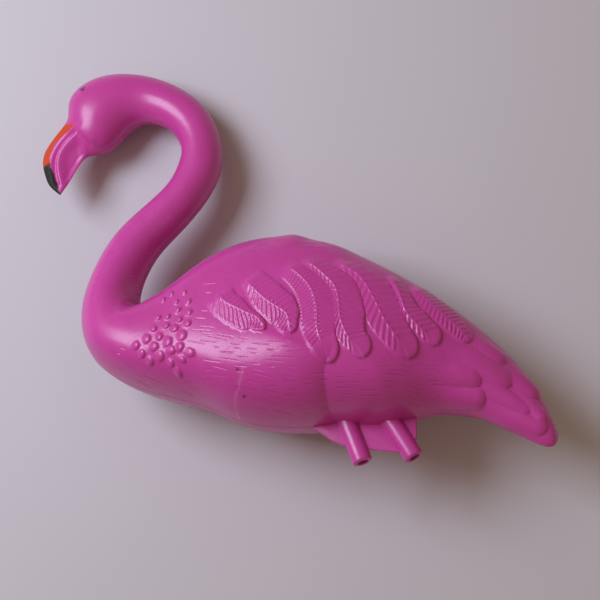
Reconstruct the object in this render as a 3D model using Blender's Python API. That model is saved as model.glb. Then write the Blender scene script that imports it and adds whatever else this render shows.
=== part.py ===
# Pink plastic flamingo lawn ornament, lying on its right flank.
# The bird is one blow-moulded piece: body, neck, head, bill, belly web and two leg sockets.
# Its form is drawn from the left side in a drawing plane: x towards the tail, y towards the back, z out of the
# left flank, in millimetres of a bird DRAWN_LENGTH long. The mid-plane z = 0 is the mould's parting plane.
import math

import bmesh
import bpy
import numpy as np
from mathutils import Matrix, Vector
from mathutils.geometry import delaunay_2d_cdt

# Driving dimensions, in metres
LENGTH = 0.565            # bill to tail, measured across the drawing
DRAWN_LENGTH = 565.0      # the same length in the drawing's millimetres
SOCKET_OUTER = 0.019      # leg socket, outside diameter
SOCKET_BORE = 0.011       # leg socket, for the end of a 9.5 mm rod
SOCKET_DEPTH = 0.030      # how far a rod goes in
SOCKET_BEVEL = 0.0016     # sloped rim of each socket
SOCKET_ROOT = 0.022       # length of each socket that is sunk in the body
CUT_PAST = 0.002          # how far the bore's cutter stands out of the socket
WEB_THICKNESS = 0.004     # flat web that joins the sockets under the belly
FLAT_DEPTH = 0.0012       # depth of the flat spots that the bird lies on
FEATHER_CREST = 0.0024    # height of a wing feather at its midrib
FEATHER_STEP = 0.0018     # height of a wing feather's lower edge over the next one
SCALE_HEIGHT = 0.0016     # height of the oval scales on the breast
TAIL_STEP = 0.0024        # height of a tail feather at its tip
SHOULDER_HEIGHT = 0.0035  # height of the wing's shoulder over the back
FOLD_HEIGHT = 0.0060      # height of the breast over the thigh behind it
LIP_HEIGHT = 0.0012       # height of the lower bill's edge over the upper bill
CHEEK_HEIGHT = 0.0022     # height of the cheek over the root of the bill
EDGE_RAMP = 0.0011        # width of the slope at a raised edge

# How the bird lies: its mid-plane leans towards the head until flank and cheek both touch
LEAN_ANGLE = math.radians(10.45)
LEAN_TOWARDS = math.radians(85.0)    # direction in the drawing, from +x
LEGS_POINT = math.radians(-63.4)     # direction of the legs in the drawing, turned to -Y

# Mesh fineness, in metres
BODY_CELL = 0.0135
NECK_CELL = 0.0100
FEATHER_CELL = 0.0095
SOCKET_SIDES = 24

UNIT = LENGTH / DRAWN_LENGTH

# Cross-sections from bill tip to tail tip: front line x, y, back line x, y, half width
STATIONS = (
    (-266, 132, -266, 132, 0), (-261, 141, -279, 144, 3), (-256, 151, -285, 156, 5),
    (-244, 174, -289, 184, 9), (-231, 181, -273, 211, 16), (-221, 184, -266, 223, 23),
    (-212, 190, -266, 241, 29), (-197, 208, -237, 271, 31), (-178, 217, -191, 274, 25),
    (-152, 207, -147, 258, 22.5), (-136, 184, -107, 222, 21.5), (-136, 160, -90, 167, 21.5),
    (-144, 139, -95, 138, 22), (-160, 119, -113, 106, 23), (-179, 100, -134, 80, 24.5),
    (-196, 80, -150, 61, 26.5), (-217, 34, -167, 22, 33), (-223, -22, -166, -1, 42),
    (-210, -55, -160, -8, 48), (-186, -76, -151, -4, 53), (-118, -102, -124, 17, 61),
    (-85, -112, -100, 37, 66), (-53, -126, -71, 54, 70), (15, -128, -5, 62.5, 72),
    (85, -131.5, 73, 34, 64), (142, -121, 138, -6, 45), (185, -130, 185, -45, 29),
    (223, -150, 221, -87, 16), (245, -153, 243, -130, 7), (247.5, -145, 247.5, -145, 0),
)

FULLNESS = 0.08           # how much fuller than an ellipse the body's sections are
FULL_FROM = (40.0, 25.0)  # half width from which sections are fuller, and over how much more this comes in

# Wing feathers, front to back: midrib points, width of the front vane, width of the rear vane
WING_FEATHERS = (
    (((-68, -18), (-55, -32), (-39, -42), (-25, -48), (-15, -56)), 15, 11),
    (((-47, -4), (-32, -16), (-18, -30), (-1, -44), (8, -57), (12, -68)), 15, 20),
    (((-5, 6), (9, -2), (23, -17), (30, -43), (30.5, -62), (34, -78), (43, -92)), 15.5, 19),
    (((0, 19), (25, 6), (42, -15), (49, -34), (52, -52), (58, -66), (71, -87)), 10, 24),
    (((31, 23), (56, 7), (71, -11), (85, -38), (96, -59), (112, -84)), 15, 21),
    (((76, 20), (97, -5), (107, -31), (117, -48), (130, -58), (139, -69)), 8, 15),
    (((104, 0), (119, -12), (131, -25), (141, -34), (152, -46), (161, -54), (165, -64)), 10, 11),
)

TIP_STARTS = 0.80         # share of a feather's length where its round tip starts

# Tail feathers, each over those after it: root x, y, tip x, y, half width
TAIL_FEATHERS = (
    (118, -93, 179, -99, 10.0), (124, -108, 182, -115, 8.5), (150, -68, 207, -101, 11.0),
    (165, -52, 202, -80, 8.0), (190, -74, 231, -111, 9.0), (172, -98, 224, -128, 7.5),
    (205, -97, 236, -136, 6.5), (178, -121, 237, -142, 8.0),
)

# Line between upper and lower bill, from the cheek to the tip
MOUTH_LINE = ((-248, 200), (-259, 194), (-268, 186), (-272.5, 175), (-272.5, 160), (-268, 141))
LIP_BAND = 12.0           # width over which the lower bill's edge fades into the bill
HEAD_ENDS = -235.0        # x that the mouth stays in front of

# Line where the cheek meets the root of the bill, from the mouth's corner to the chin
CHEEK_LINE = ((-249, 204), (-245, 197.5), (-240, 192), (-235, 186.5), (-231, 180))
CHEEK_BAND = 14.0         # width over which the step at the cheek fades out

# Soft rise of the wing's shoulder, centre and spread; fold where the breast falls to the thigh, top to bottom
SHOULDER = ((-11, 52), (19, 14))
FOLD_LINE = ((47, -74), (42, -88), (38, -98), (37, -108), (37, -119), (38, -130), (39, -140))
FOLD_ROUND = 15.0         # width over which the breast rounds off to the fold
FOLD_BAND = 95.0          # width of breast that rises towards the fold

# Breast scales: centre x, y, half length, half width
SCALES = (
    (-148, -66, 4.5, 4), (-142, -74, 4.5, 4), (-137, -61, 5, 4.5), (-129, -69, 5.5, 4.5), (-134, -81, 5, 3.5),
    (-123, -78, 5.5, 5), (-124, -60, 4.5, 4), (-115, -66, 5.5, 5), (-111, -74, 5.5, 4), (-102, -72, 5, 4.5),
    (-101, -61, 6, 5.5), (-92, -78, 6.5, 4.2), (-106, -92, 5.5, 3.2), (-109, -53, 5, 4), (-96, -49, 4.5, 3.8),
    (-118, -49, 4.2, 3.2), (-131, -51, 4.2, 3.4), (-105, -44, 4, 3), (-128, -39, 4, 3), (-118, -39, 4, 3.2),
    (-108, -33, 4.5, 3), (-96, -37, 4.5, 3.6), (-98, -25, 4.5, 3),
)
SCALE_TURN = (math.radians(-32), math.radians(1.3), -85)  # way they point, turn per millimetre up, from this y

# Belly web outline and the two sockets: end centre x, y, direction from +x, length that shows
WEB_OUTLINE = (
    (6, -112), (13.9, -131.1), (36, -147), (47, -152), (72, -156), (101, -160), (116.5, -146), (116.5, -112),
)
SOCKETS = ((66.0, -168.5, -68.5, 44.0), (114.5, -164.5, -58.2, 44.0))

PINK = (0.52, 0.075, 0.33)


# The form

def spline_rows(rows):
    """Natural cubic curve through the rows, by the mean length run along front and back lines."""
    values = np.asarray(rows, float)
    step = (np.hypot(*np.diff(values[:, 0:2], axis=0).T) + np.hypot(*np.diff(values[:, 2:4], axis=0).T)) / 2
    knots = np.concatenate([[0.0], np.cumsum(step)])
    return knots, values, second_derivatives(knots, values)


def second_derivatives(knots, values):
    """Second derivatives of the natural cubic curve at its knots."""
    count = len(values)
    gap = np.diff(knots)
    matrix = np.eye(count)
    right = np.zeros_like(values)
    for i in range(1, count - 1):
        matrix[i, i - 1:i + 2] = gap[i - 1], 2 * (gap[i - 1] + gap[i]), gap[i]
        slope_after = (values[i + 1] - values[i]) / gap[i]
        slope_before = (values[i] - values[i - 1]) / gap[i - 1]
        right[i] = 6 * (slope_after - slope_before)
    return np.linalg.solve(matrix, right)


def read_spline(spline, at):
    """Values of a cubic curve at the given places."""
    knots, values, bend = spline
    at = np.clip(np.asarray(at, float), knots[0], knots[-1])
    i = np.clip(np.searchsorted(knots, at) - 1, 0, len(knots) - 2)
    gap = (knots[i + 1] - knots[i])[..., None]
    b = (at - knots[i])[..., None] / gap
    a = 1 - b
    curve = ((a ** 3 - a) * bend[i] + (b ** 3 - b) * bend[i + 1]) * gap ** 2 / 6
    return a * values[i] + b * values[i + 1] + curve


BIRD = spline_rows(STATIONS)
BIRD_END = BIRD[0][-1]


def ease(value):
    """Soft step from 0 to 1."""
    value = np.clip(value, 0, 1)
    return value * value * (3 - 2 * value)


def smooth_form(s, t):
    """Point of the left half without its carving: s runs bill to tail, t from front line to back line."""
    row = read_spline(BIRD, s)
    share = ((1 - np.cos(np.pi * t)) / 2)[..., None]
    flat = row[..., 0:2] + (row[..., 2:4] - row[..., 0:2]) * share
    full = FULLNESS * ease((row[..., 4] - FULL_FROM[0]) / FULL_FROM[1])
    out = row[..., 4] * (np.sin(np.pi * t) + full * np.sin(3 * np.pi * t)) / (1 - full)
    return np.concatenate([flat, out[..., None]], axis=-1)


def half_girth(s):
    """Length over the left half from front line to back line."""
    row = read_spline(BIRD, s)
    deep = np.hypot(row[..., 2] - row[..., 0], row[..., 3] - row[..., 1]) / 2
    wide = row[..., 4]
    return math.pi / 2 * (3 * (deep + wide) - np.sqrt((3 * deep + wide) * (deep + 3 * wide))) + 0.4


def locate(x, y):
    """The s and t whose point shows at x, y in the drawing."""
    s_grid, t_grid = np.meshgrid(np.linspace(0, BIRD_END, 420), np.linspace(0.01, 0.99, 60), indexing="ij")
    grid = smooth_form(s_grid, t_grid)
    s, t = np.empty(len(x)), np.empty(len(x))
    for i, (px, py) in enumerate(zip(x, y)):
        near = np.argmin((grid[..., 0] - px) ** 2 + (grid[..., 1] - py) ** 2)
        s[i], t[i] = s_grid.flat[near], t_grid.flat[near]
    tiny = 1e-4
    for _ in range(8):
        here = smooth_form(s, t)
        along = (smooth_form(s + tiny, t) - here) / tiny
        across = (smooth_form(s, t + tiny) - here) / tiny
        size = along[:, 0] * across[:, 1] - along[:, 1] * across[:, 0]
        size = np.where(np.abs(size) < 1e-6, 1e-6, size)
        miss_x, miss_y = x - here[:, 0], y - here[:, 1]
        s = np.clip(s + np.clip((miss_x * across[:, 1] - miss_y * across[:, 0]) / size, -8, 8), 0, BIRD_END)
        t = np.clip(t + np.clip((along[:, 0] * miss_y - along[:, 1] * miss_x) / size, -0.05, 0.05), 0, 1)
    return s, t


# The carving

def sample_midrib(points, count=48):
    """Evenly run points and directions along a smooth midrib."""
    values = np.asarray(points, float)
    knots = np.concatenate([[0.0], np.cumsum(np.hypot(*np.diff(values, axis=0).T))])
    curve = (knots, values, second_derivatives(knots, values))
    run = np.linspace(0, knots[-1], count)
    place = read_spline(curve, run)
    ahead = np.gradient(place, axis=0)
    ahead /= np.linalg.norm(ahead, axis=1)[:, None]
    return place, ahead, knots[-1]


def beside_midrib(midrib, x, y):
    """For each x, y: share of the midrib's length reached, and distance to its rear side."""
    place, ahead, length = midrib
    gap_x = x[:, None] - place[None, :, 0]
    gap_y = y[:, None] - place[None, :, 1]
    i = np.argmin(gap_x ** 2 + gap_y ** 2, axis=1)
    rows = np.arange(len(x))
    dx, dy = gap_x[rows, i], gap_y[rows, i]
    along = dx * ahead[i, 0] + dy * ahead[i, 1]
    share = i / (len(place) - 1) + along / length
    return share, ahead[i, 0] * dy - ahead[i, 1] * dx


def vane_share(share):
    """Width of a vane at a share of the feather's length, of its widest: slim root, round tip."""
    past = (share - TIP_STARTS) / (1 - TIP_STARTS)
    return vane_root(share) * np.sqrt(np.clip(1 - np.clip(past, 0, 1) ** 2, 0, 1))


def vane_root(share):
    """Width of a vane without its round tip, of its widest."""
    return 0.5 + 0.5 * ease(share / 0.45)


def wing_feather_height(feather, x, y):
    """Height of one wing feather: a crest at the midrib, a low front edge and a proud rear edge."""
    points, front, rear = feather
    midrib = sample_midrib(points)
    share, aside = beside_midrib(midrib, x, y)
    width = np.where(aside < 0, front, rear) * vane_root(share)
    past_tip = np.maximum(share - TIP_STARTS, 0) * midrib[2]
    across = np.hypot(aside / width, past_tip / (midrib[2] * (1 - TIP_STARTS)))
    inward = 1 - np.clip(across, 0, 1)
    crest, step = FEATHER_CREST / UNIT, FEATHER_STEP / UNIT
    front_height = step * 0.35 + (crest - step * 0.35) * inward ** 1.2
    rear_height = step + (crest - step) * inward ** 2
    height = np.where(aside < 0, front_height, rear_height)
    from_middle = np.hypot(aside, past_tip)
    past_edge = from_middle * (1 - 1 / np.maximum(across, 1)) * UNIT / EDGE_RAMP
    return height * ease(share / 0.22) * (1 - ease(past_edge))


def tail_feather_height(feather, x, y):
    """Height of one tail feather: it rises towards its round tip."""
    root_x, root_y, tip_x, tip_y, half = feather
    length = math.hypot(tip_x - root_x, tip_y - root_y)
    ahead_x, ahead_y = (tip_x - root_x) / length, (tip_y - root_y) / length
    along = (x - root_x) * ahead_x + (y - root_y) * ahead_y
    aside = np.abs(ahead_x * (y - root_y) - ahead_y * (x - root_x))
    past_shoulder = np.maximum(along - (length - half), 0)
    reach = np.hypot(past_shoulder, aside)
    past_edge = np.maximum(reach - half, 0) * UNIT / EDGE_RAMP
    dome = 1 - 0.35 * np.clip(reach / half, 0, 1) ** 2
    return TAIL_STEP / UNIT * ease(along / length) * dome * (1 - ease(past_edge))


def scale_way(y):
    """Direction in which a scale's free end points."""
    return SCALE_TURN[0] + SCALE_TURN[1] * (y - SCALE_TURN[2])


def scale_height(scale, x, y):
    """An oval scale, highest towards its free end."""
    centre_x, centre_y, long, wide = scale
    way = scale_way(centre_y)
    along = ((x - centre_x) * math.cos(way) + (y - centre_y) * math.sin(way)) / long
    aside = ((y - centre_y) * math.cos(way) - (x - centre_x) * math.sin(way)) / wide
    dome = np.sqrt(np.clip(1 - along ** 2 - aside ** 2, 0, 1))
    return SCALE_HEIGHT / UNIT * dome * (1 + 0.35 * along)


def bump(x, y, centre, spread):
    """Soft round rise of height 1."""
    return np.exp(-((x - centre[0]) / spread[0]) ** 2 - ((y - centre[1]) / spread[1]) ** 2)


def lip_height(x, y):
    """The lower bill's edge stands proud of the upper bill along the mouth."""
    share, aside = beside_midrib(sample_midrib(MOUTH_LINE), x, y)
    ends = ease(share / 0.12) * (1 - ease((share - 0.88) / 0.12))
    lower = 1 - ease(aside / LIP_BAND)
    upper = 0.35 * (1 - ease(-aside / 3))
    ramp = ease(aside * UNIT / EDGE_RAMP + 1)
    return LIP_HEIGHT / UNIT * ends * (lower * ramp - upper * (1 - ramp)) * (x < HEAD_ENDS)


def cheek_height(x, y):
    """The cheek stands over the root of the bill: half the step up on the head, half down on the bill."""
    share, aside = beside_midrib(sample_midrib(CHEEK_LINE), x, y)
    ends = ease((share + 0.15) / 0.3) * (1 - ease((share - 0.85) / 0.3))
    fade = 1 - ease(np.abs(aside) / CHEEK_BAND)
    side = 2 * ease(0.5 + aside * UNIT / EDGE_RAMP / 2) - 1
    return CHEEK_HEIGHT / UNIT / 2 * ends * fade * side * (x < HEAD_ENDS + 20) * (y > 120)


def fold_height(x, y):
    """The breast swells and then rounds off steeply to the fold in front of the thigh."""
    share, aside = beside_midrib(sample_midrib(FOLD_LINE), x, y)
    ahead = np.maximum(-aside, 0)
    swell = (1 - np.exp(-ahead / FOLD_ROUND)) * (1 - ease(ahead / FOLD_BAND))
    return FOLD_HEIGHT / UNIT * swell * ease(share / 0.35 + 0.1) * (y < FOLD_LINE[0][1] + 20) * (x > -90)


def carving(x, y):
    """Height of the carving over the smooth form, in the drawing's millimetres."""
    x, y = np.asarray(x, float), np.asarray(y, float)
    height = np.zeros(len(x))
    for feather in WING_FEATHERS:
        height = np.maximum(height, wing_feather_height(feather, x, y))
    for feather in TAIL_FEATHERS:
        height = np.maximum(height, tail_feather_height(feather, x, y))
    for scale in SCALES:
        height = np.maximum(height, scale_height(scale, x, y))
    shoulder = SHOULDER_HEIGHT / UNIT * bump(x, y, *SHOULDER)
    return height + shoulder + fold_height(x, y) + lip_height(x, y) + cheek_height(x, y)


def carved_form(s, t):
    """Point of the left half with its carving, along the smooth form's own direction outwards."""
    s, t = np.asarray(s, float), np.asarray(t, float)
    here = smooth_form(s, t)
    tiny_s, tiny_t = 0.05, 0.002
    s_low, s_high = np.clip(s - tiny_s, 0, BIRD_END), np.clip(s + tiny_s, 0, BIRD_END)
    t_in = np.clip(t, tiny_t, 1 - tiny_t)
    along = smooth_form(s_high, t_in) - smooth_form(s_low, t_in)
    across = smooth_form(s, t_in + tiny_t) - smooth_form(s, t_in - tiny_t)
    out = np.cross(along, across)
    on_seam = (t < 1e-6) | (t > 1 - 1e-6)
    out[on_seam, 2] = 0
    size = np.linalg.norm(out, axis=1)
    out = out / np.where(size < 1e-9, 1, size)[:, None]
    point = here + out * carving(here[:, 0], here[:, 1])[:, None]
    point[on_seam, 2] = 0
    return point


# The mesh of the left half, worked out on the unrolled half: s along it, girth across it

def unroll(s, t):
    """Place on the unrolled half."""
    return np.stack([np.asarray(s, float), (np.asarray(t, float) - 0.5) * half_girth(s)], axis=1)


def roll_back(flat):
    """The s and t of places on the unrolled half."""
    s = np.clip(flat[:, 0], 0, BIRD_END)
    return s, np.clip(flat[:, 1] / half_girth(s) + 0.5, 0, 1)


def cell_size(s):
    """Wanted edge length along the bird: finer on bill, head and neck."""
    neck = NECK_CELL / UNIT
    body = BODY_CELL / UNIT
    return neck * 0.6 + (neck * 0.4) * ease(s / 60) + (body - neck) * ease((s - 330) / 120)


def seam_places(t):
    """Places of the seam's points along the front line (t = 0) or back line (t = 1)."""
    s = np.linspace(0, BIRD_END, 4000)
    line = smooth_form(s, np.full(len(s), float(t)))
    step = np.linalg.norm(np.diff(line, axis=0), axis=1) / cell_size(s[1:])
    run = np.concatenate([[0.0], np.cumsum(step)])
    count = max(int(round(run[-1])), 4)
    return np.interp(np.linspace(0, run[-1], count + 1), run, s)


def feather_lines():
    """Midribs and edges of the feathers as lines in the drawing; the outer edge lies a slope's width away."""
    lines = []
    cell = FEATHER_CELL / UNIT
    for points, front, rear in WING_FEATHERS:
        place, ahead, length = sample_midrib(points, 200)
        beside = np.stack([-ahead[:, 1], ahead[:, 0]], axis=1)
        shares = np.linspace(0, 1, len(place))
        count = max(int(length * TIP_STARTS / cell), 3)
        round_tip = TIP_STARTS + (1 - TIP_STARTS) * np.sin(np.radians([30, 56, 76]))
        stops = np.concatenate([np.linspace(0.12, TIP_STARTS, count), round_tip])
        at = np.array([np.argmin(np.abs(shares - stop)) for stop in stops])
        lines.append(place[at])
        for width, side in ((front, -1), (rear, 1)):
            for over in (0.0, EDGE_RAMP / UNIT):
                reach = side * (width * vane_share(stops) + over)
                lines.append(place[at] + beside[at] * reach[:, None])
    for root_x, root_y, tip_x, tip_y, half in TAIL_FEATHERS:
        length = math.hypot(tip_x - root_x, tip_y - root_y)
        ahead = np.array([tip_x - root_x, tip_y - root_y]) / length
        beside = np.array([-ahead[1], ahead[0]])
        centre = np.array([tip_x, tip_y]) - ahead * half
        for over in (0.0, EDGE_RAMP / UNIT):
            reach = half + over
            side = [centre - ahead * back for back in np.arange(cell, (length - half) * 0.75, cell)][::-1]
            turn = [math.radians(a) for a in (-90, -54, -18, 18, 54, 90)]
            arc = [centre + ahead * reach * math.cos(a) + beside * reach * math.sin(a) for a in turn]
            near_side = [point - beside * reach for point in side]
            far_side = [point + beside * reach for point in side[::-1]]
            lines.append(np.array(near_side + arc + far_side))
    for points, count, offsets in (
            (MOUTH_LINE, 12, (0, -EDGE_RAMP / UNIT)),
            (CHEEK_LINE, 7, (-EDGE_RAMP / UNIT, EDGE_RAMP / UNIT)),
            (FOLD_LINE, 10, (0, -FOLD_ROUND * 0.3, -FOLD_ROUND * 0.8))):
        place, ahead, length = sample_midrib(points, count)
        beside = np.stack([-ahead[:, 1], ahead[:, 0]], axis=1)
        lines.extend(place + beside * offset for offset in offsets)
    return lines


def visible_runs(line):
    """The parts of a line that lie on the bird and clear of its outline."""
    s, t = locate(line[:, 0], line[:, 1])
    found = smooth_form(s, t)
    miss = np.hypot(found[:, 0] - line[:, 0], found[:, 1] - line[:, 1])
    keep = (miss < 0.2) & (t > 0.035) & (t < 0.965)
    run = []
    for i, good in enumerate(keep):
        if good:
            run.append((s[i], t[i]))
        if (not good or i == len(keep) - 1) and run:
            yield np.array(run)
            run = []


def carved_lines():
    """Every line and lone point that the carving needs in the mesh, as places in the drawing."""
    yield from feather_lines()
    for centre_x, centre_y, long, wide in SCALES:
        way = scale_way(centre_y)
        turn = np.linspace(0, 2 * math.pi, 7)
        ring = np.outer(np.cos(turn) * long, (math.cos(way), math.sin(way)))
        ring += np.outer(np.sin(turn) * wide, (-math.sin(way), math.cos(way)))
        yield np.array((centre_x, centre_y)) + ring
        yield np.array((centre_x, centre_y)) + ring * 0.62
        yield np.array([(centre_x, centre_y)], float)


def half_mesh():
    """Points and triangles of the left half, with every carved edge on a line of the mesh."""
    front, back = seam_places(0), seam_places(1)
    outline = np.stack([
        np.concatenate([front, back[-2:0:-1]]),
        np.concatenate([np.zeros(len(front)), np.ones(len(back) - 2)])], axis=1)
    tips = np.array([(s, 0.5) for s in (3.0, 9.0, BIRD_END - 9.0, BIRD_END - 3.0)])
    runs = [outline, tips]
    edges = []
    first = len(outline) + len(tips)
    for line in carved_lines():
        for run in visible_runs(line):
            runs.append(run)
            edges.extend((first + i, first + i + 1) for i in range(len(run) - 1))
            first += len(run)
    fixed = np.concatenate(runs)
    free = filling_places(smooth_form(fixed[:, 0], fixed[:, 1]))
    flat = [Vector(place) for place in np.concatenate([unroll(fixed[:, 0], fixed[:, 1]), free])]
    found = delaunay_2d_cdt(flat, edges, [list(range(len(outline)))], 0, 1e-3, True)
    s, t = roll_back(np.array([place[:] for place in found[0]]))
    t = np.where(t < 2e-3, 0.0, np.where(t > 1 - 2e-3, 1.0, t))
    return carved_form(s, t), [tuple(face) for face, within in zip(found[2], found[5]) if within]


def filling_places(fixed):
    """Rows of free points between the fixed ones, no closer to them than most of a cell."""
    places = []
    s = 0.0
    row = 0
    while s < BIRD_END:
        cell = float(cell_size(np.array([s]))[0])
        girth = float(half_girth(np.array([s]))[0])
        count = max(int(round(girth / cell)), 2)
        t = (np.arange(count + 1) + (0.5 if row % 2 else 0.0)) / count
        t = t[(t > 0.4 / count) & (t < 1 - 0.4 / count)]
        here = smooth_form(np.full(len(t), s), t)
        for i, point in enumerate(here):
            if np.min(np.linalg.norm(fixed - point, axis=1)) > cell * 0.62:
                places.append(unroll(np.array([s]), t[i:i + 1])[0])
        s += cell * 0.87
        row += 1
    return places


# Solids

def new_object(name, points, faces):
    """Mesh object from points in the drawing's millimetres."""
    mesh = bpy.data.meshes.new(name)
    mesh.from_pydata([tuple(UNIT * value for value in p) for p in points], [], faces)
    body = bpy.data.objects.new(name, mesh)
    bpy.context.scene.collection.objects.link(body)
    return body


def bird_form():
    """Both halves of the bird, joined on the parting plane."""
    points, faces = half_mesh()
    body = new_object("flamingo", points, faces)
    shape = bmesh.new()
    shape.from_mesh(body.data)
    bmesh.ops.remove_doubles(shape, verts=shape.verts, dist=0.00002)
    everything = shape.verts[:] + shape.edges[:] + shape.faces[:]
    bmesh.ops.mirror(shape, geom=everything, merge_dist=0.00001, axis="Z")
    bmesh.ops.remove_doubles(shape, verts=shape.verts, dist=0.00001)
    bmesh.ops.recalc_face_normals(shape, faces=shape.faces)
    shape.to_mesh(body.data)
    shape.free()
    return body


def web_form():
    """Flat web under the belly."""
    half = WEB_THICKNESS / UNIT / 2
    count = len(WEB_OUTLINE)
    points = [(x, y, z) for z in (-half, half) for x, y in WEB_OUTLINE]
    faces = [tuple(range(count)), tuple(range(2 * count - 1, count - 1, -1))]
    faces += [(i, i + count, (i + 1) % count + count, (i + 1) % count) for i in range(count)]
    return new_object("web", points, faces)


def turned(name, profile, end, away):
    """Round solid in the parting plane; profile: distance back from its end point and radius, ring by ring."""
    direction = Vector((math.cos(away), math.sin(away), 0))
    beside = Vector((-direction.y, direction.x, 0))
    start = Vector((end[0], end[1], 0))
    points = []
    for back, radius in profile:
        for turn in np.linspace(0, 2 * math.pi, SOCKET_SIDES, endpoint=False):
            around = beside * math.cos(turn) + Vector((0, 0, 1)) * math.sin(turn)
            points.append(start + (around * radius - direction * back) / UNIT)
    rings = len(profile)
    faces = [tuple(range(SOCKET_SIDES))]
    faces.append(tuple(range(rings * SOCKET_SIDES - 1, (rings - 1) * SOCKET_SIDES - 1, -1)))
    for ring in range(rings - 1):
        for i in range(SOCKET_SIDES):
            j = (i + 1) % SOCKET_SIDES
            near, far = ring * SOCKET_SIDES, (ring + 1) * SOCKET_SIDES
            faces.append((near + i, far + i, far + j, near + j))
    bar = new_object(name, points, faces)
    shape = bmesh.new()
    shape.from_mesh(bar.data)
    bmesh.ops.recalc_face_normals(shape, faces=shape.faces)
    shape.to_mesh(bar.data)
    shape.free()
    return bar


def combine(body, other, operation):
    """Boolean with another object, which is then removed."""
    step = body.modifiers.new(operation.lower(), "BOOLEAN")
    step.operation = operation
    step.solver = "EXACT"
    step.object = other
    bpy.context.view_layer.update()
    shaped = bpy.data.meshes.new_from_object(body.evaluated_get(bpy.context.evaluated_depsgraph_get()))
    body.modifiers.clear()
    body.data = shaped
    bpy.data.objects.remove(other)


def add_sockets(body):
    """Web, two sockets and their bores."""
    combine(body, web_form(), "UNION")
    outer, bore = SOCKET_OUTER / 2, SOCKET_BORE / 2
    for x, y, angle, shown in SOCKETS:
        length = shown * UNIT + SOCKET_ROOT
        profile = ((0, outer - SOCKET_BEVEL), (SOCKET_BEVEL, outer), (length, outer))
        combine(body, turned("socket", profile, (x, y), math.radians(angle)), "UNION")
    for x, y, angle, shown in SOCKETS:
        profile = ((-CUT_PAST, bore), (SOCKET_DEPTH, bore))
        combine(body, turned("bore", profile, (x, y), math.radians(angle)), "DIFFERENCE")


def lay_down(body):
    """Turns the bird as it lies, with its legs towards -Y, cuts its flat spots and centres it."""
    axis = Vector((math.cos(LEAN_TOWARDS + math.pi / 2), math.sin(LEAN_TOWARDS + math.pi / 2), 0))
    lean = Matrix.Rotation(LEAN_ANGLE, 4, axis)
    turn = Matrix.Rotation(-math.pi / 2 - LEGS_POINT, 4, "Z")
    body.data.transform(turn @ lean)
    shape = bmesh.new()
    shape.from_mesh(body.data)
    floor = min(v.co.z for v in shape.verts) + FLAT_DEPTH
    everything = shape.verts[:] + shape.edges[:] + shape.faces[:]
    cut = bmesh.ops.bisect_plane(
        shape, geom=everything, dist=1e-6, plane_co=(0, 0, floor), plane_no=(0, 0, -1), clear_outer=True)
    rims = [item for item in cut["geom_cut"] if isinstance(item, bmesh.types.BMEdge)]
    bmesh.ops.holes_fill(shape, edges=rims)
    bmesh.ops.triangulate(shape, faces=shape.faces)
    low = [min(v.co[i] for v in shape.verts) for i in range(3)]
    high = [max(v.co[i] for v in shape.verts) for i in range(3)]
    middle = Vector(((low[0] + high[0]) / 2, (low[1] + high[1]) / 2, floor))
    bmesh.ops.translate(shape, verts=shape.verts, vec=-middle)
    shape.to_mesh(body.data)
    shape.free()


def plastic(name, colour, roughness):
    """Glossy plastic or paint of one colour."""
    material = bpy.data.materials.new(name)
    material.use_nodes = True
    shader = material.node_tree.nodes["Principled BSDF"]
    shader.inputs["Base Color"].default_value = (*colour, 1)
    shader.inputs["Roughness"].default_value = roughness
    shader.inputs["Metallic"].default_value = 0.0
    return material


def clear_scene():
    """Removes whatever objects the scene holds."""
    for thing in list(bpy.data.objects):
        bpy.data.objects.remove(thing)


def main():
    clear_scene()
    body = bird_form()
    add_sockets(body)
    lay_down(body)
    body.data.materials.append(plastic("flamingo_pink", PINK, 0.32))
    body.data.shade_smooth()
    body.data.set_sharp_from_angle(angle=math.radians(40))


main()
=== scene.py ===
"""Looks of the pink flamingo lawn ornament: moulded shell, web, leg sockets, floor, light and camera."""

import math

import bpy
import numpy as np
from bpy.props import FloatProperty, FloatVectorProperty, PointerProperty
from mathutils import Matrix, Vector, kdtree
from mathutils.geometry import delaunay_2d_cdt


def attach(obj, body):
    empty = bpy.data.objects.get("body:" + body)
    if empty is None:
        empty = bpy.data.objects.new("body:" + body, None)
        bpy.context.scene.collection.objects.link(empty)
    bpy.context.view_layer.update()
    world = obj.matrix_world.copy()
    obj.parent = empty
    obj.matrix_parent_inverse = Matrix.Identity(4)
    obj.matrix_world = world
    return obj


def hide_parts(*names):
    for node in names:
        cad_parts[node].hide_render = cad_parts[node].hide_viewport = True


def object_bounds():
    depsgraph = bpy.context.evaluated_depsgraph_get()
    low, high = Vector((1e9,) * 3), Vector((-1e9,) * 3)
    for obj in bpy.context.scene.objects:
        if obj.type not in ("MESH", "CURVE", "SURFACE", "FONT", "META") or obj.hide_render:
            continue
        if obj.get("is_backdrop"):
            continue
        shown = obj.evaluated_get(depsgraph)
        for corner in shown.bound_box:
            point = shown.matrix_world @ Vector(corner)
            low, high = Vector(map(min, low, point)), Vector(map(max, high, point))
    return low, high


bl_info = {
    "name": "Flamingo Lawn Ornament",
    "version": (1, 0, 0),
    "blender": (4, 5, 0),
    "location": "View3D > Sidebar > Flamingo",
    "description": "Builds a blow-moulded flamingo that lies on its side, with its floor, light and camera",
    "category": "Object",
}

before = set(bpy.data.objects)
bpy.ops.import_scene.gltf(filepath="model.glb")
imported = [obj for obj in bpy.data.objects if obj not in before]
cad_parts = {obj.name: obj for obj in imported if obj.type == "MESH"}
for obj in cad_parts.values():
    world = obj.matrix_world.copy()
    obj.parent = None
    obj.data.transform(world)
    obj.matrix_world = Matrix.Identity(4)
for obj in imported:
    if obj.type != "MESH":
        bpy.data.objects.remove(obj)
CAD_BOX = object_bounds()
MM = 0.001

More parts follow.
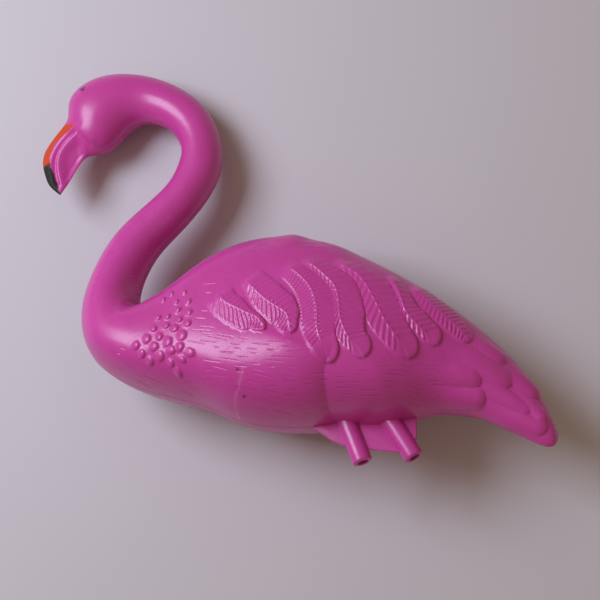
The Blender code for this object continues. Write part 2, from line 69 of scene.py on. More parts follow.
# The bird is drawn from its left side in millimetres: x towards the tail, y towards the back, z out of the
# left flank. It is then laid down: its mid-plane leans, its legs turn to -Y and its middle moves to the
# origin.
LEAN_ANGLE = math.radians(10.45)
LEAN_TOWARDS = math.radians(85.0)
LEGS_POINT = math.radians(-63.4)

# Middle of the part's outline as it lies, at its lowest height, in metres
MIDDLE = Vector((-0.02506906, 0.05010636, -0.06955402))

# Cross-sections from bill tip to tail tip: front line x, y, back line x, y, half width
STATIONS = (
    (-266, 132, -266, 132, 0), (-261, 141, -279, 144, 3), (-256, 151, -285, 156, 5),
    (-244, 174, -289, 184, 9), (-231, 181, -273, 211, 16), (-221, 184, -266, 223, 23),
    (-212, 190, -266, 241, 29), (-197, 208, -237, 271, 31), (-178, 217, -191, 274, 25),
    (-152, 207, -147, 258, 22.5), (-136, 184, -107, 222, 21.5), (-136, 160, -90, 167, 21.5),
    (-144, 139, -95, 138, 22), (-160, 119, -113, 106, 23), (-179, 100, -134, 80, 24.5),
    (-196, 80, -150, 61, 26.5), (-217, 34, -167, 22, 33), (-223, -22, -166, -1, 42),
    (-210, -55, -160, -8, 48), (-186, -76, -151, -4, 53), (-118, -102, -124, 17, 61),
    (-85, -112, -100, 37, 66), (-53, -126, -71, 54, 70), (15, -128, -5, 62.5, 72),
    (85, -131.5, 73, 34, 64), (142, -121, 138, -6, 45), (185, -130, 185, -45, 29),
    (223, -150, 221, -87, 16), (245, -153, 243, -130, 7), (247.5, -145, 247.5, -145, 0),
)

FULLNESS = 0.08           # how much fuller than an ellipse the body's sections are
SAG = 0.10                # how much of their fullness lies towards the belly
SLENDER = 40.0            # half width up to which a section is a plain ellipse
GROWS_OVER = 25.0         # further half width over which fullness and sag grow
LEAST_GIRTH = 0.4         # added to the girth, so that it isn't zero at the bill's and the tail's tip

# Wing feathers, front to back: midrib points; front and rear vane widths at VANE_STOPS; barb spacing and
# slant, and share of the feather's length where midrib and barbs end
WING_FEATHERS = (
    (((-69, -17), (-57, -31), (-47, -37), (-37, -43), (-26, -49), (-20, -58), (-19, -62)),
     (13.5, 17, 17, 11), (14, 11, 5, 3.5), 4.9, 1.1, 0.97),
    (((-44, -4), (-30, -19), (-20, -29), (-7.5, -38.5), (2, -46.5), (5, -59), (6, -66)),
     (5, 12, 15.5, 12), (18, 20, 18, 8), 5.2, 1.0, 0.96),
    (((-7, 11), (5, 2), (16, -9), (23.5, -20), (28, -33), (30.3, -47), (31, -60), (35, -73), (40, -85),
      (42, -94)),
     (12, 15.5, 15.5, 11), (11, 17, 19, 13.5), 4.1, 0.45, 0.80),
    (((7.5, 16), (16, 12), (25, 6), (34, -3), (42, -11.5), (48, -25), (50, -38), (51.5, -50), (55, -60.5),
      (62, -73), (68, -80), (73, -89)),
     (8, 8, 10, 9), (9, 20, 23.5, 16), 5.6, 1.3, 0.84),
    (((39, 17), (53, 8), (63, 1), (70.5, -8), (79, -23), (85.5, -37), (92.5, -52), (97, -59), (105, -70),
      (110, -78), (112, -86)),
     (5, 9, 14, 12), (8, 21.5, 21, 16), 8.0, 1.2, 0.85),
    (((92, 5.6), (101.5, -14), (106.7, -28.6), (110.4, -39.3), (116, -46.7), (124, -55.5), (131, -62),
      (139, -70)),
     (4, 5, 7, 7), (7, 12, 15.5, 14), 6.0, 1.1, 0.84),
    (((111, -9), (120, -14), (128, -22), (140, -34), (151, -45), (158, -51), (165, -60), (167, -64)),
     (5, 9.5, 9, 8), (13, 14, 14, 8), 4.9, 0.9, 0.96),
)
VANE_STOPS = (0.1, 0.4, 0.65, 0.85)
TIP_STARTS = 0.85         # share of a feather's length where its round tip starts
REAR_SLANT = 0.35         # slant of the rear vane's barbs, as a share of the front vane's
REAR_BARBS = 0.65         # height of the rear vane's barbs, as a share of the front vane's
EDGE_ROUND = 2.4          # width over which a feather's proud edge is rounded
EDGE_GROWS = (0.55, 0.6)  # height of the rear edge at the root, and its gain to the tip, in feather edges
FRONT_EDGE = (0.3, 0.5)   # height of the front edge in rear edges, and what it gains at the end
EDGE_DROP = 0.55          # how strongly a proud edge is rounded
ROOT_FADE = 0.13          # share of a feather's length over which it rises out of the flank
BARB_SHARPNESS = 1.3      # above 1 the barbs are narrower than the grooves between them
BARB_SUNK = 0.42          # how far the grooves go below the vane, in barbs
MIDRIB_HALF_WIDTH = 0.75
FEATHER_SHOWS = 0.15      # height from which the mesh follows a wing feather

# Tail feathers, of which the highest shows: root x, y, tip x, y, half width
TAIL_FEATHERS = (
    (118, -93, 179, -99, 10.0), (124, -108, 182, -115, 8.5), (150, -68, 207, -101, 11.0),
    (165, -52, 202, -80, 8.0), (190, -74, 231, -111, 9.0), (172, -98, 224, -128, 7.5),
    (205, -97, 236, -136, 6.5), (178, -121, 237, -142, 8.0),
)
TAIL_RISE = 0.75          # share of a tail feather's length over which it rises
TAIL_DOME = 0.7           # share by which a tail feather is lower at its rim
TAIL_SHOWS = 0.25         # height from which the mesh follows a tail feather

# Breast scales: centre x, y, half length, half width; they point down at the bottom and up at the top
SCALES = (
    (-148, -66, 4.5, 4), (-142, -74, 4.5, 4), (-137, -61, 5, 4.5), (-129, -69, 5.5, 4.5),
    (-134, -81, 5, 3.5), (-123, -78, 5.5, 5), (-124, -60, 4.5, 4), (-115, -66, 5.5, 5), (-111, -74, 5.5, 4),
    (-102, -72, 5, 4.5), (-101, -61, 6, 5.5), (-92, -78, 6.5, 4.2), (-100, -83, 5.5, 2.6),
    (-112, -85, 4.5, 3), (-106, -92, 5.5, 3.2), (-109, -53, 5, 4), (-96, -49, 4.5, 3.8),
    (-118, -49, 4.2, 3.2), (-131, -51, 4.2, 3.4), (-105, -44, 4, 3), (-128, -39, 4, 3), (-118, -39, 4, 3.2),
    (-108, -33, 4.5, 3), (-96, -37, 4.5, 3.6), (-98, -25, 4.5, 3), (-126, -18, 3.6, 2.8),
    (-118, -12, 3.6, 2.8), (-104, -13, 3.6, 2.8), (-111, -23, 3.6, 2.6),
)
SCALE_WAY = math.radians(-32)             # way in which a scale at SCALE_LEVEL points
SCALE_LEVEL = -85
SCALE_TURN = math.radians(1.3)            # turn of that way for each millimetre further up
SCALE_DOME = 0.42                         # below 0.5 a scale is flatter on top than half an egg
SCALE_ROOT = 0.12                         # height of its root, as a share of its free end's
SCALE_TOP = 1.15                          # brings its highest place up to about the height that is set
SCALE_RINGS = (1.05, 0.99, 0.9, 0.65, 0.3)    # rings of mesh points on a scale, as shares of its size

# Line between upper and lower bill, line where the cheek meets the bill, and inner edge of the bill's paint
MOUTH_LINE = (
    (-246.7, 201.7), (-256, 197), (-262.6, 192.4), (-267.8, 186.2), (-272, 178), (-273.5, 169.3),
    (-272.5, 158.7), (-269, 145.5), (-266.6, 139),
)
CHEEK_LINE = ((-246.2, 199.5), (-241.7, 194.6), (-237.7, 190.8), (-233.9, 187.4), (-231.2, 184.9))
PAINT_LINE = (
    (-248.6, 206), (-256, 203.5), (-263, 199.5), (-269.5, 195.5), (-275.7, 189.5), (-278.7, 181.6),
    (-279.8, 172.7), (-278.5, 165.7), (-273, 152), (-269, 142),
)
BLACK_FROM = (-282, 168)  # x, y of a point on the edge where the upper bill's paint turns black
BLACK_SLOPE = 0.25        # slope of that edge
BLACK_BLEND = 5.0         # width over which it blends
PAINT_BLEND = 0.7         # width over which the paint's other edges blend
PAINT_REACH = (-244, 130)     # highest x and lowest y of the bill's paint
EYE = ((-246.0, 247.8, 1.9), (-242.4, 248.4, 1.7), (-243.4, 245.2, 2.0))  # worn spots: centre x, y, radius

# Line where the head ends over the bill's paint
BROW_LINE = ((-270, 216), (-262, 211), (-256, 208.6), (-252, 208), (-248.6, 206), (-246, 203))

# Profile across the mouth: distance below the mouth line, and height in bill edges
LIP_PROFILE = (
    (-9, 0), (-5.2, 0), (-4.0, -0.4), (-1.4, -2.0), (-0.4, -2.2), (0.6, -1.5), (2.6, 0.6), (3.6, 0.95),
    (4.8, 0.7), (13, -2.5), (20, -3.2), (40, -3.4),
)
LIP_ENDS = 0.12           # share of the mouth line over which that profile fades at either end
CHEEK_BAND = 14.0         # how far on either side of its line the cheek's step reaches
CHEEK_ROUND = 5.0         # width of the step itself
CHEEK_ENDS = 0.15         # share of its line before and past either end over which the step fades
CHEEK_REACH = (-215, 120)     # highest x and lowest y of the step
HEAD_ENDS = -235.0        # x of the root of the bill, under the cheek
HEAD_FADE = 16.0          # distance from there over which the profile across the mouth grows

# Soft rises of the wing's shoulder: centre x, y, reach in x, y, share of the height
SHOULDER = ((-3, 50, 13, 13, 0.9), (36, 40, 22, 16, 0.5))

# Fold where the breast falls to the thigh
FOLD_LINE = ((47, -74), (42, -88), (38, -98), (37, -108), (37, -119), (38, -130), (39, -140))
FOLD_ROUND = 18.0         # distance over which the breast rises in front of the fold
FOLD_BAND = 95.0          # distance over which it is level with the belly again
FOLD_STARTS = 0.35        # share of the line over which the fold deepens
FOLD_REACH = (-90, -54)   # lowest x and highest y of the breast that it raises

# Fields of short engraved strokes: lowest and highest x and y, slope at either end, how many
STROKE_FIELDS = (
    (-112, 28, -112, -62, -0.28, -0.04, 170), (-92, -58, -62, -36, -0.1, -0.05, 16),
    (-172, -85, -104, -62, -0.45, -0.33, 26), (44, 172, -120, -80, -0.02, 0.04, 60),
    (-30, 60, -124, -100, -0.10, -0.03, 24), (-95, -45, -40, -5, 0, 0.05, 14),
    (122, 176, -88, -70, -0.25, -0.3, 10), (-75, 40, 22, 52, 0.22, -0.12, 24),
)
STROKE_GAP = 3.3          # smallest distance between neighbouring strokes, across them
STROKE_HALF_WIDTH = 0.6
STROKE_LENGTHS = (8.0, 25.0)
STROKE_DEPTHS = (0.6, 1.0)
STROKE_SWAY = 0.04        # how much their slopes differ
STROKE_ENDS = 3.0         # smallest distance between two strokes in a row, end to end
STROKE_CLEAR = (2.5, 2.0, 10.0)   # distance from wing feathers, scales and tail feathers
STROKE_TRIES = 1500       # tries after which a field counts as full
STROKE_SEED = 11

# Scratch on the left flank, and dark specks: centre x, y, radius
SCRATCH = ((-39, -97), (-42, -108), (-49, -118), (-56, -128))
SCRATCH_HALF_WIDTH = 0.6
SCRATCH_TOP = -90         # y above which there is no scratch
SPECKS = ((-44, -97.5, 0.9), (-40.5, -118, 0.8), (-7, -108, 0.6))

# Web under the belly and the two sockets: end centre x, y, direction from +x, length that shows
WEB_OUTLINE = (
    (6, -112), (13.9, -131.1), (36, -147), (47, -152), (72, -156), (101, -160), (116.5, -146),
    (116.5, -112),
)
WEB_ROUND = 0.9           # radius of the web's rounded edges
SOCKETS = ((66.0, -168.5, -68.5, 44.0), (114.5, -164.5, -58.2, 44.0))
RIM_ROUND = 2.0           # radius of a socket's rim outside
MOUTH_ROUND = 0.7         # radius at the mouth of its bore
SHARP_FROM = math.radians(50.0)     # angle from which an edge of web and sockets stays sharp

# Mould's parting seam
SEAM_HALF_WIDTH = 0.25
SEAM_SLOPE = 0.5          # width over which the seam falls away beside that
SEAM_STARTS = 8.0         # length run from the bill's tip where the seam starts
SEAM_FADE = 10.0          # length over which it starts, and over which hollows deepen away from it

# Edge lengths of the mesh where it is finer than on the smooth parts; the head's is the wing's
BILL_CELL, SCALES_CELL, TAIL_CELL, WING_CELL = 1.7, 1.9, 2.1, 2.2
NECK_SHARE = 0.8          # edge length on the neck, as a share of that on the smooth parts
BILL_TO, HEAD_TO, NECK_TO = 95, 250, 620      # lengths run from the bill's tip where these parts end
FINE_AREAS = (            # lowest and highest x, lowest and highest y, edge length
    (-85, 175, -95, 32, WING_CELL), (115, math.inf, -math.inf, -40, TAIL_CELL),
    (-155, -88, -96, -6, SCALES_CELL),
)
ROW_SHARE = 0.87          # distance between rows of free mesh points, in edge lengths
FREE_SHARE = 0.62         # smallest distance of free points from fixed ones, in edge lengths

# Lines that the mesh follows: distances beside each one at which it does
MESH_LINES = (
    (MOUTH_LINE, (-5.2, -4.2, -2.8, -1.4, -0.4, 0.5, 1.5, 2.6, 3.5, 4.6, 7.0)),
    (CHEEK_LINE, (-2.4, -1.2, 0.0, 1.2, 2.4)), (FOLD_LINE, (1.6, 0.0, -1.0, -2.5, -5.0, -9.0)),
    (PAINT_LINE, (-0.25, 0.25)), (SCRATCH, (-0.35, 0.35)),
)
MIDRIB_LINES = (-1.5, -0.75, 0.0, 0.75, 1.5)
STROKE_LINES = (-1.1, -STROKE_HALF_WIDTH, 0.0, STROKE_HALF_WIDTH, 1.1)
SEAM_LINES = (0.4, 0.85)
WING_RIM = (-EDGE_ROUND, -1.1, -0.15, 0.3)    # out of a wing feather's rim
TAIL_RIM = (-4.2, -1.6, -0.2, 0.3)            # out of a tail feather's rim
PAST_RAMP = 0.1                               # out of the slope at either rim
FRONT_BARB_LINES = (0, 0.25, 0.5, 0.75)       # from barb to barb, in barb spacings
REAR_BARB_LINES = (0, 0.3, 0.5, 0.7)
SPOT_RINGS = (1.35, 1.0, 0.5)                 # round eye spots and specks, in their radius

# Finish
HAZE = 0.32               # weight of the dull layer that weather leaves on the plastic
FLAT_ORANGE = 0.42        # how much rougher than the plastic the orange paint is
DUST_COLOUR = (0.72, 0.42, 0.55, 1)
SCRATCH_COLOUR = (0.8, 0.3, 0.5, 1)
SCRATCH_SHARE = 0.45      # how strongly the scratch shows
MASKS = ("orange_paint", "black_paint", "scratch")      # shares of each at the shell's points

# Camera in the photograph's place: it stands off the drawing's origin, tipped from the mid-plane
CAMERA_AWAY = 1.3
CAMERA_TIP = math.radians(25.0)
CAMERA_TIP_WAY = Vector((-0.4, 0.92))
CAMERA_LENS = 78.0
CAMERA_CLIP = (0.05, 20.0)

# Window light, seen from the camera: to the right, up and near
WINDOW_WAY = Vector((-0.71, 0.37, 0.62))
WINDOW_AWAY = 1.7
WINDOW_SIDE = 0.95

FLOOR_REACH = 4.0         # how far the floor goes from the origin


# Settings

def metres(name, description, default, least=0.0):
    """A setting in metres."""
    return FloatProperty(
        name=name, description=description, default=default, min=least, unit="LENGTH", precision=5)


def tint(name, description, default):
    """A setting that is a colour, with or without its opacity."""
    return FloatVectorProperty(
        name=name, description=description, default=default, min=0.0, max=1.0, subtype="COLOR",
        size=len(default))


class FlamingoRelief(bpy.types.PropertyGroup):
    """Sizes of the relief on the shell"""
    crest: metres("Feather crest", "Height of a wing feather at its midrib", 0.0032)
    step: metres("Feather edge", "Height of a wing feather's rear edge three quarters along", 0.0021)
    ramp: metres("Edge slope", "Width of the slope at a raised edge", 0.0007, 0.0002)
    midrib: metres("Midrib", "Height of the raised line along a feather's middle", 0.00045)
    barb: metres("Barbs", "Height of the barbs on a feather's front vane", 0.00115)
    tail_step: metres("Tail feather edge", "Height of a tail feather in the middle of its tip", 0.0034)
    scale: metres("Scales", "Height of the scales on the breast", 0.0017)
    shoulder: metres("Shoulder", "Height of the wing's shoulder over the back", 0.0035)
    fold: metres("Breast fold", "Height of the breast over the thigh", 0.0085)
    lip: metres("Bill edge", "Height that the profile across the mouth is a multiple of", 0.0012)
    cheek: metres("Cheek", "Height of the cheek over the root of the bill", 0.0022)
    stroke: metres("Strokes", "Depth of the short engraved strokes", 0.00078)
    seam: metres("Parting seam", "Height of the thin seam where the mould's halves met", 0.0003)
    cell: metres("Mesh cell", "Length of an edge on the smooth parts of the shell", 0.0031, 0.0015)


class FlamingoSockets(bpy.types.PropertyGroup):
    """Sizes of the leg sockets and their web"""
    outer: metres("Outside", "Outside diameter of a leg socket", 0.019, 0.01)
    bore: metres("Bore", "Inside diameter of a leg socket", 0.011, 0.004)
    depth: metres("Depth", "How far a leg goes in", 0.030, 0.01)
    root: metres("Root", "Length of a socket that is sunk in the belly", 0.022, 0.005)
    web: metres("Web", "Thickness of the flat web", 0.004, 0.001)


class FlamingoFinish(bpy.types.PropertyGroup):
    """Colours and gloss of the plastic and its paint"""
    pink: tint("Pink", "Colour of the plastic", (0.585, 0.045, 0.335, 1.0))
    deep: tint("Deep pink", "Colour of the plastic where its wall is thicker", (0.50, 0.030, 0.25, 1.0))
    orange: tint("Orange", "Paint of the upper bill", (0.60, 0.045, 0.002, 1.0))
    black: tint("Black", "Paint of the bill's tip and the eyes", (0.004, 0.005, 0.005, 1.0))
    gloss: FloatProperty(
        name="Roughness", description="Roughness of clean plastic", subtype="FACTOR", default=0.28, min=0.0,
        max=1.0)


class FlamingoStage(bpy.types.PropertyGroup):
    """Floor and light"""
    floor: tint("Floor", "Colour of the floor", (0.585, 0.54, 0.585, 1.0))
    key: FloatProperty(
        name="Window light", description="Strength of the large soft light, in watts", default=26.6,
        min=0.0)
    key_colour: tint("Window colour", "Colour of the large soft light", (0.74, 0.82, 0.96))
    room: FloatProperty(
        name="Room light", description="Strength of the light from all round", default=0.315, min=0.0)
    room_colour: tint("Room colour", "Colour of the light from all round", (1.0, 0.79, 0.56))


# Smooth form

def second_derivatives(knots, values):
    """Second derivatives of the natural cubic curve at its knots."""
    count = len(values)
    gap = np.diff(knots)
    matrix = np.eye(count)
    right = np.zeros_like(values)
    for i in range(1, count - 1):
        matrix[i, i - 1:i + 2] = gap[i - 1], 2 * (gap[i - 1] + gap[i]), gap[i]
        right[i] = 6 * ((values[i + 1] - values[i]) / gap[i] - (values[i] - values[i - 1]) / gap[i - 1])
    return np.linalg.solve(matrix, right)


def cubic(knots, values):
    """Natural cubic curve through values at knots."""
    return knots, values, second_derivatives(knots, values)


def read_cubic(curve, at):
    """Values of a cubic curve at the given places."""
    knots, values, bend = curve
    at = np.clip(np.asarray(at, float), knots[0], knots[-1])
    i = np.clip(np.searchsorted(knots, at) - 1, 0, len(knots) - 2)
    gap = (knots[i + 1] - knots[i])[..., None]
    b = (at - knots[i])[..., None] / gap
    a = 1 - b
    bent = (a ** 3 - a) * bend[i] + (b ** 3 - b) * bend[i + 1]
    return a * values[i] + b * values[i + 1] + bent * gap ** 2 / 6


def bird_curve():
    """Cubic curve through the stations, by the mean length run along front and back lines."""
    rows = np.asarray(STATIONS, float)
    front, back = (np.hypot(*np.diff(rows[:, i:i + 2], axis=0).T) for i in (0, 2))
    return cubic(np.concatenate([[0.0], np.cumsum((front + back) / 2)]), rows)


BIRD = bird_curve()
BIRD_END = BIRD[0][-1]


def ease(value):
    """Soft step from 0 to 1."""
    value = np.clip(value, 0, 1)
    return value * value * (3 - 2 * value)


def smooth_form(s, t):
    """Point of the left half without relief: s runs bill to tail, t from front line to back line."""
    row = read_cubic(BIRD, s)
    share = ((1 - np.cos(np.pi * t)) / 2)[..., None]
    flat = row[..., 0:2] + (row[..., 2:4] - row[..., 0:2]) * share
    wide = row[..., 4]
    grown = ease((wide - SLENDER) / GROWS_OVER)
    full, sag = FULLNESS * grown, SAG * grown
    turn = np.pi * t
    out = wide * (np.sin(turn) + full * np.sin(3 * turn) + sag * np.sin(2 * turn)) / (1 - full)
    return np.concatenate([flat, out[..., None]], axis=-1)


def half_girth(s):
    """Length over the left half from front line to back line."""
    row = read_cubic(BIRD, s)
    deep = np.hypot(row[..., 2] - row[..., 0], row[..., 3] - row[..., 1]) / 2
    wide = row[..., 4]
    girth = 3 * (deep + wide) - np.sqrt((3 * deep + wide) * (deep + 3 * wide))
    return math.pi / 2 * girth + LEAST_GIRTH


def locate(x, y):
    """The s and t whose point shows at x, y in the drawing, and whether there is one."""
    s_grid, t_grid = np.meshgrid(np.linspace(0, BIRD_END, 500), np.linspace(0.01, 0.99, 70), indexing="ij")
    grid = smooth_form(s_grid, t_grid).reshape(-1, 3)
    tree = kdtree.KDTree(len(grid))
    for i, place in enumerate(grid):
        tree.insert((place[0], place[1], 0), i)
    tree.balance()
    near = np.array([tree.find((px, py, 0))[1] for px, py in zip(x, y)], int)
    s, t = s_grid.ravel()[near], t_grid.ravel()[near]
    tiny, longest_s, longest_t = 1e-4, 6, 0.04
    for _ in range(7):
        here = smooth_form(s, t)
        along = (smooth_form(s + tiny, t) - here) / tiny
        across = (smooth_form(s, t + tiny) - here) / tiny
        size = along[:, 0] * across[:, 1] - along[:, 1] * across[:, 0]
        size = np.where(np.abs(size) < 1e-6, 1e-6, size)
        miss_x, miss_y = x - here[:, 0], y - here[:, 1]
        step_s = (miss_x * across[:, 1] - miss_y * across[:, 0]) / size
        step_t = (along[:, 0] * miss_y - along[:, 1] * miss_x) / size
        s = np.clip(s + np.clip(step_s, -longest_s, longest_s), 0, BIRD_END)
        t = np.clip(t + np.clip(step_t, -longest_t, longest_t), 0, 1)
    found = smooth_form(s, t)
    beside_seam, nearest = 0.03, 0.2
    close = np.hypot(found[:, 0] - x, found[:, 1] - y) < nearest
    return s, t, close & (t > beside_seam) & (t < 1 - beside_seam)


# Relief

def sample_line(points, count=64):
    """Evenly run points and directions along a smooth line, and its length."""
    values = np.asarray(points, float)
    curve = cubic(np.concatenate([[0.0], np.cumsum(np.hypot(*np.diff(values, axis=0).T))]), values)
    place = read_cubic(curve, np.linspace(0, curve[0][-1], count))
    ahead = np.gradient(place, axis=0)
    ahead /= np.linalg.norm(ahead, axis=1)[:, None]
    return place, ahead, curve[0][-1]


def beside_line(line, x, y):
    """For each x, y: share of the line's length reached, and distance to its left, a feather's rear side."""
    place, ahead, length = line
    gap_x = x[:, None] - place[None, :, 0]
    gap_y = y[:, None] - place[None, :, 1]
    i = np.argmin(gap_x ** 2 + gap_y ** 2, axis=1)
    rows = np.arange(len(x))
    dx, dy = gap_x[rows, i], gap_y[rows, i]
    along = dx * ahead[i, 0] + dy * ahead[i, 1]
    return i / (len(place) - 1) + along / length, ahead[i, 0] * dy - ahead[i, 1] * dx


def vane_width(widths, share):
    """Width of a vane without its round tip."""
    return np.interp(share, VANE_STOPS, widths)


def barb_start(share, reach, length, slant):
    """Share of the midrib's length where the barb starts that passes a place in a vane."""
    start = share
    for _ in range(5):
        start = share - barb_slant(start, slant) * reach / length
    return start


def barb_slant(start, slant):
    """How far a barb runs towards the tip for each millimetre outwards: steeper near the tip."""
    return slant * (0.6 + 0.8 * np.clip(start, 0, 1) ** 2)


def feather_relief(feather, x, y, sizes):
    """Height of one wing feather, and the height of its midrib and barbs alone."""
    points, front, rear, pitch, slant, barbs_end = feather
    line = sample_line(points)
    length = line[2]
    share, aside = beside_line(line, x, y)
    width = np.where(aside < 0, vane_width(front, share), vane_width(rear, share))
    past_tip = np.maximum(share - TIP_STARTS, 0) * length
    across = np.hypot(aside / width, past_tip / (length * (1 - TIP_STARTS)))
    inward = 1 - np.clip(across, 0, 1)
    lobe = ease((share - barbs_end + 0.08) / 0.12)      # smooth end of the feather, past its barbs
    edge = sizes.step / MM * (EDGE_GROWS[0] + EDGE_GROWS[1] * np.clip(share, 0, 1))
    edge = np.where(aside < 0, edge * (FRONT_EDGE[0] + FRONT_EDGE[1] * lobe), edge)
    height = edge + (sizes.crest / MM * (1 - 0.25 * lobe) - edge) * inward ** (1 + 0.6 * lobe)
    from_middle = np.hypot(aside, past_tip)
    room = np.maximum(from_middle * (1 / np.maximum(across, 1e-6) - 1), 0)
    at_edge = np.clip(1 - room / EDGE_ROUND, 0, 1) ** 2
    height *= np.sqrt(1 - EDGE_DROP * at_edge * np.where(aside < 0, lobe, 1))
    past_edge = from_middle * (1 - 1 / np.maximum(across, 1)) * MM / sizes.ramp
    height = height * ease(share / ROOT_FADE) * (1 - ease(past_edge))
    reach = np.abs(aside)
    start = barb_start(share, reach, length, np.where(aside < 0, slant, slant * REAR_SLANT))
    ridge = (0.5 + 0.5 * np.cos(2 * np.pi * start * length / pitch)) ** BARB_SHARPNESS - BARB_SUNK
    strength = np.where(aside < 0, 1.0, REAR_BARBS) * (0.55 + 0.45 * ease((share - 0.2) / 0.5))
    fade = ease((reach - 0.5) / 1.2) * ease((room - 0.2) / 1.3) * ease((share - 0.05) / 0.15)
    ends = 1 - ease((start - barbs_end) * length / 2)
    fine = sizes.barb / MM * strength * ridge * fade * ends
    fine += sizes.midrib / MM * np.exp(-(aside / MIDRIB_HALF_WIDTH) ** 2) * ease(share / 0.12) * ends
    return height, fine * (across < 1)


def tail_relief(feather, x, y, sizes):
    """Height of one tail feather: it rises towards its round tip."""
    root_x, root_y, tip_x, tip_y, half = feather
    length = math.hypot(tip_x - root_x, tip_y - root_y)
    ahead_x, ahead_y = (tip_x - root_x) / length, (tip_y - root_y) / length
    along = (x - root_x) * ahead_x + (y - root_y) * ahead_y
    aside = ahead_x * (y - root_y) - ahead_y * (x - root_x)
    reach = np.hypot(np.maximum(along - (length - half), 0), aside)
    past_edge = np.maximum(reach - half, 0) * MM / sizes.ramp
    dome = 1 - TAIL_DOME * np.clip(reach / half, 0, 1) ** 2
    return sizes.tail_step / MM * ease(along / length / TAIL_RISE) * dome * (1 - ease(past_edge))


def scale_way(y):
    """Direction in which a scale's free end points."""
    return SCALE_WAY + SCALE_TURN * (y - SCALE_LEVEL)


def scale_relief(scale, x, y, sizes):
    """An oval scale, highest towards its free end."""
    centre_x, centre_y, long, wide = scale
    way = scale_way(centre_y)
    along = ((x - centre_x) * math.cos(way) + (y - centre_y) * math.sin(way)) / long
    aside = ((y - centre_y) * math.cos(way) - (x - centre_x) * math.sin(way)) / wide
    dome = np.clip(1 - along ** 2 - aside ** 2, 0, 1) ** SCALE_DOME
    rise = SCALE_ROOT + (1 - SCALE_ROOT) * ease((along + 1) / 1.5)
    return sizes.scale / MM * dome * rise * SCALE_TOP


def strokes():
    """Short engraved strokes: start x, y, end x, y and depth share, the same each time."""
    chance = np.random.default_rng(STROKE_SEED)
    made = []
    for low_x, high_x, low_y, high_y, first_slope, last_slope, count in STROKE_FIELDS:
        tries = 0
        while tries < STROKE_TRIES and count > 0:
            tries += 1
            x, y = chance.uniform(low_x, high_x), chance.uniform(low_y, high_y)
            length = chance.uniform(*STROKE_LENGTHS)
            tilt = np.interp(x, (low_x, high_x), (first_slope, last_slope)) + chance.normal(0, STROKE_SWAY)
            run = length / math.hypot(1, tilt)
            stroke = np.array([x, y, x + run, y + run * tilt, chance.uniform(*STROKE_DEPTHS)])
            middle = (stroke[0:2] + stroke[2:4]) / 2
            if all(abs(middle[1] - other[1] - tilt * (middle[0] - other[0])) > STROKE_GAP
                   or abs(middle[0] - other[0]) > length / 2 + reach + STROKE_ENDS for other, reach in made):
                made.append((middle, length / 2))
                count -= 1
                yield stroke


def bare_strokes():
    """The strokes that lie on bare plastic, clear of feathers and scales."""
    kept = np.array(list(strokes()))
    clear = np.ones(len(kept), bool)
    from_wing, from_scale, from_tail = STROKE_CLEAR
    for share in (0, 0.25, 0.5, 0.75, 1):
        x = kept[:, 0] + (kept[:, 2] - kept[:, 0]) * share
        y = kept[:, 1] + (kept[:, 3] - kept[:, 1]) * share
        for points, front, rear, *rest in WING_FEATHERS:
            along, aside = beside_line(sample_line(points), x, y)
            width = np.where(aside < 0, vane_width(front, along), vane_width(rear, along))
            clear &= (np.abs(aside) > width + from_wing) | (along < -0.02) | (along > 1.03)
        for centre_x, centre_y, long, wide in SCALES:
            clear &= np.hypot(x - centre_x, y - centre_y) > long + from_scale
        for root_x, root_y, tip_x, tip_y, half in TAIL_FEATHERS:
            clear &= np.hypot(x - tip_x, y - tip_y) > half + from_tail
    return kept[clear]


def stroke_relief(strokes_kept, x, y, sizes):
    """Depth of the engraved strokes."""
    depth = np.zeros(len(x))
    around = STROKE_LENGTHS[1] / 2 + 1.5
    for ax, ay, bx, by, share in strokes_kept:
        near = (np.abs(x - (ax + bx) / 2) < around) & (np.abs(y - (ay + by) / 2) < around)
        px, py = x[near], y[near]
        length = math.hypot(bx - ax, by - ay)
        ux, uy = (bx - ax) / length, (by - ay) / length
        along = (px - ax) * ux + (py - ay) * uy
        aside = np.abs(ux * (py - ay) - uy * (px - ax))
        ends = ease(along / 2) * ease((length - along) / 2)
        cut = share * ends * np.clip(1 - aside / STROKE_HALF_WIDTH, 0, 1)
        depth[near] = np.maximum(depth[near], cut)
    return -sizes.stroke / MM * depth


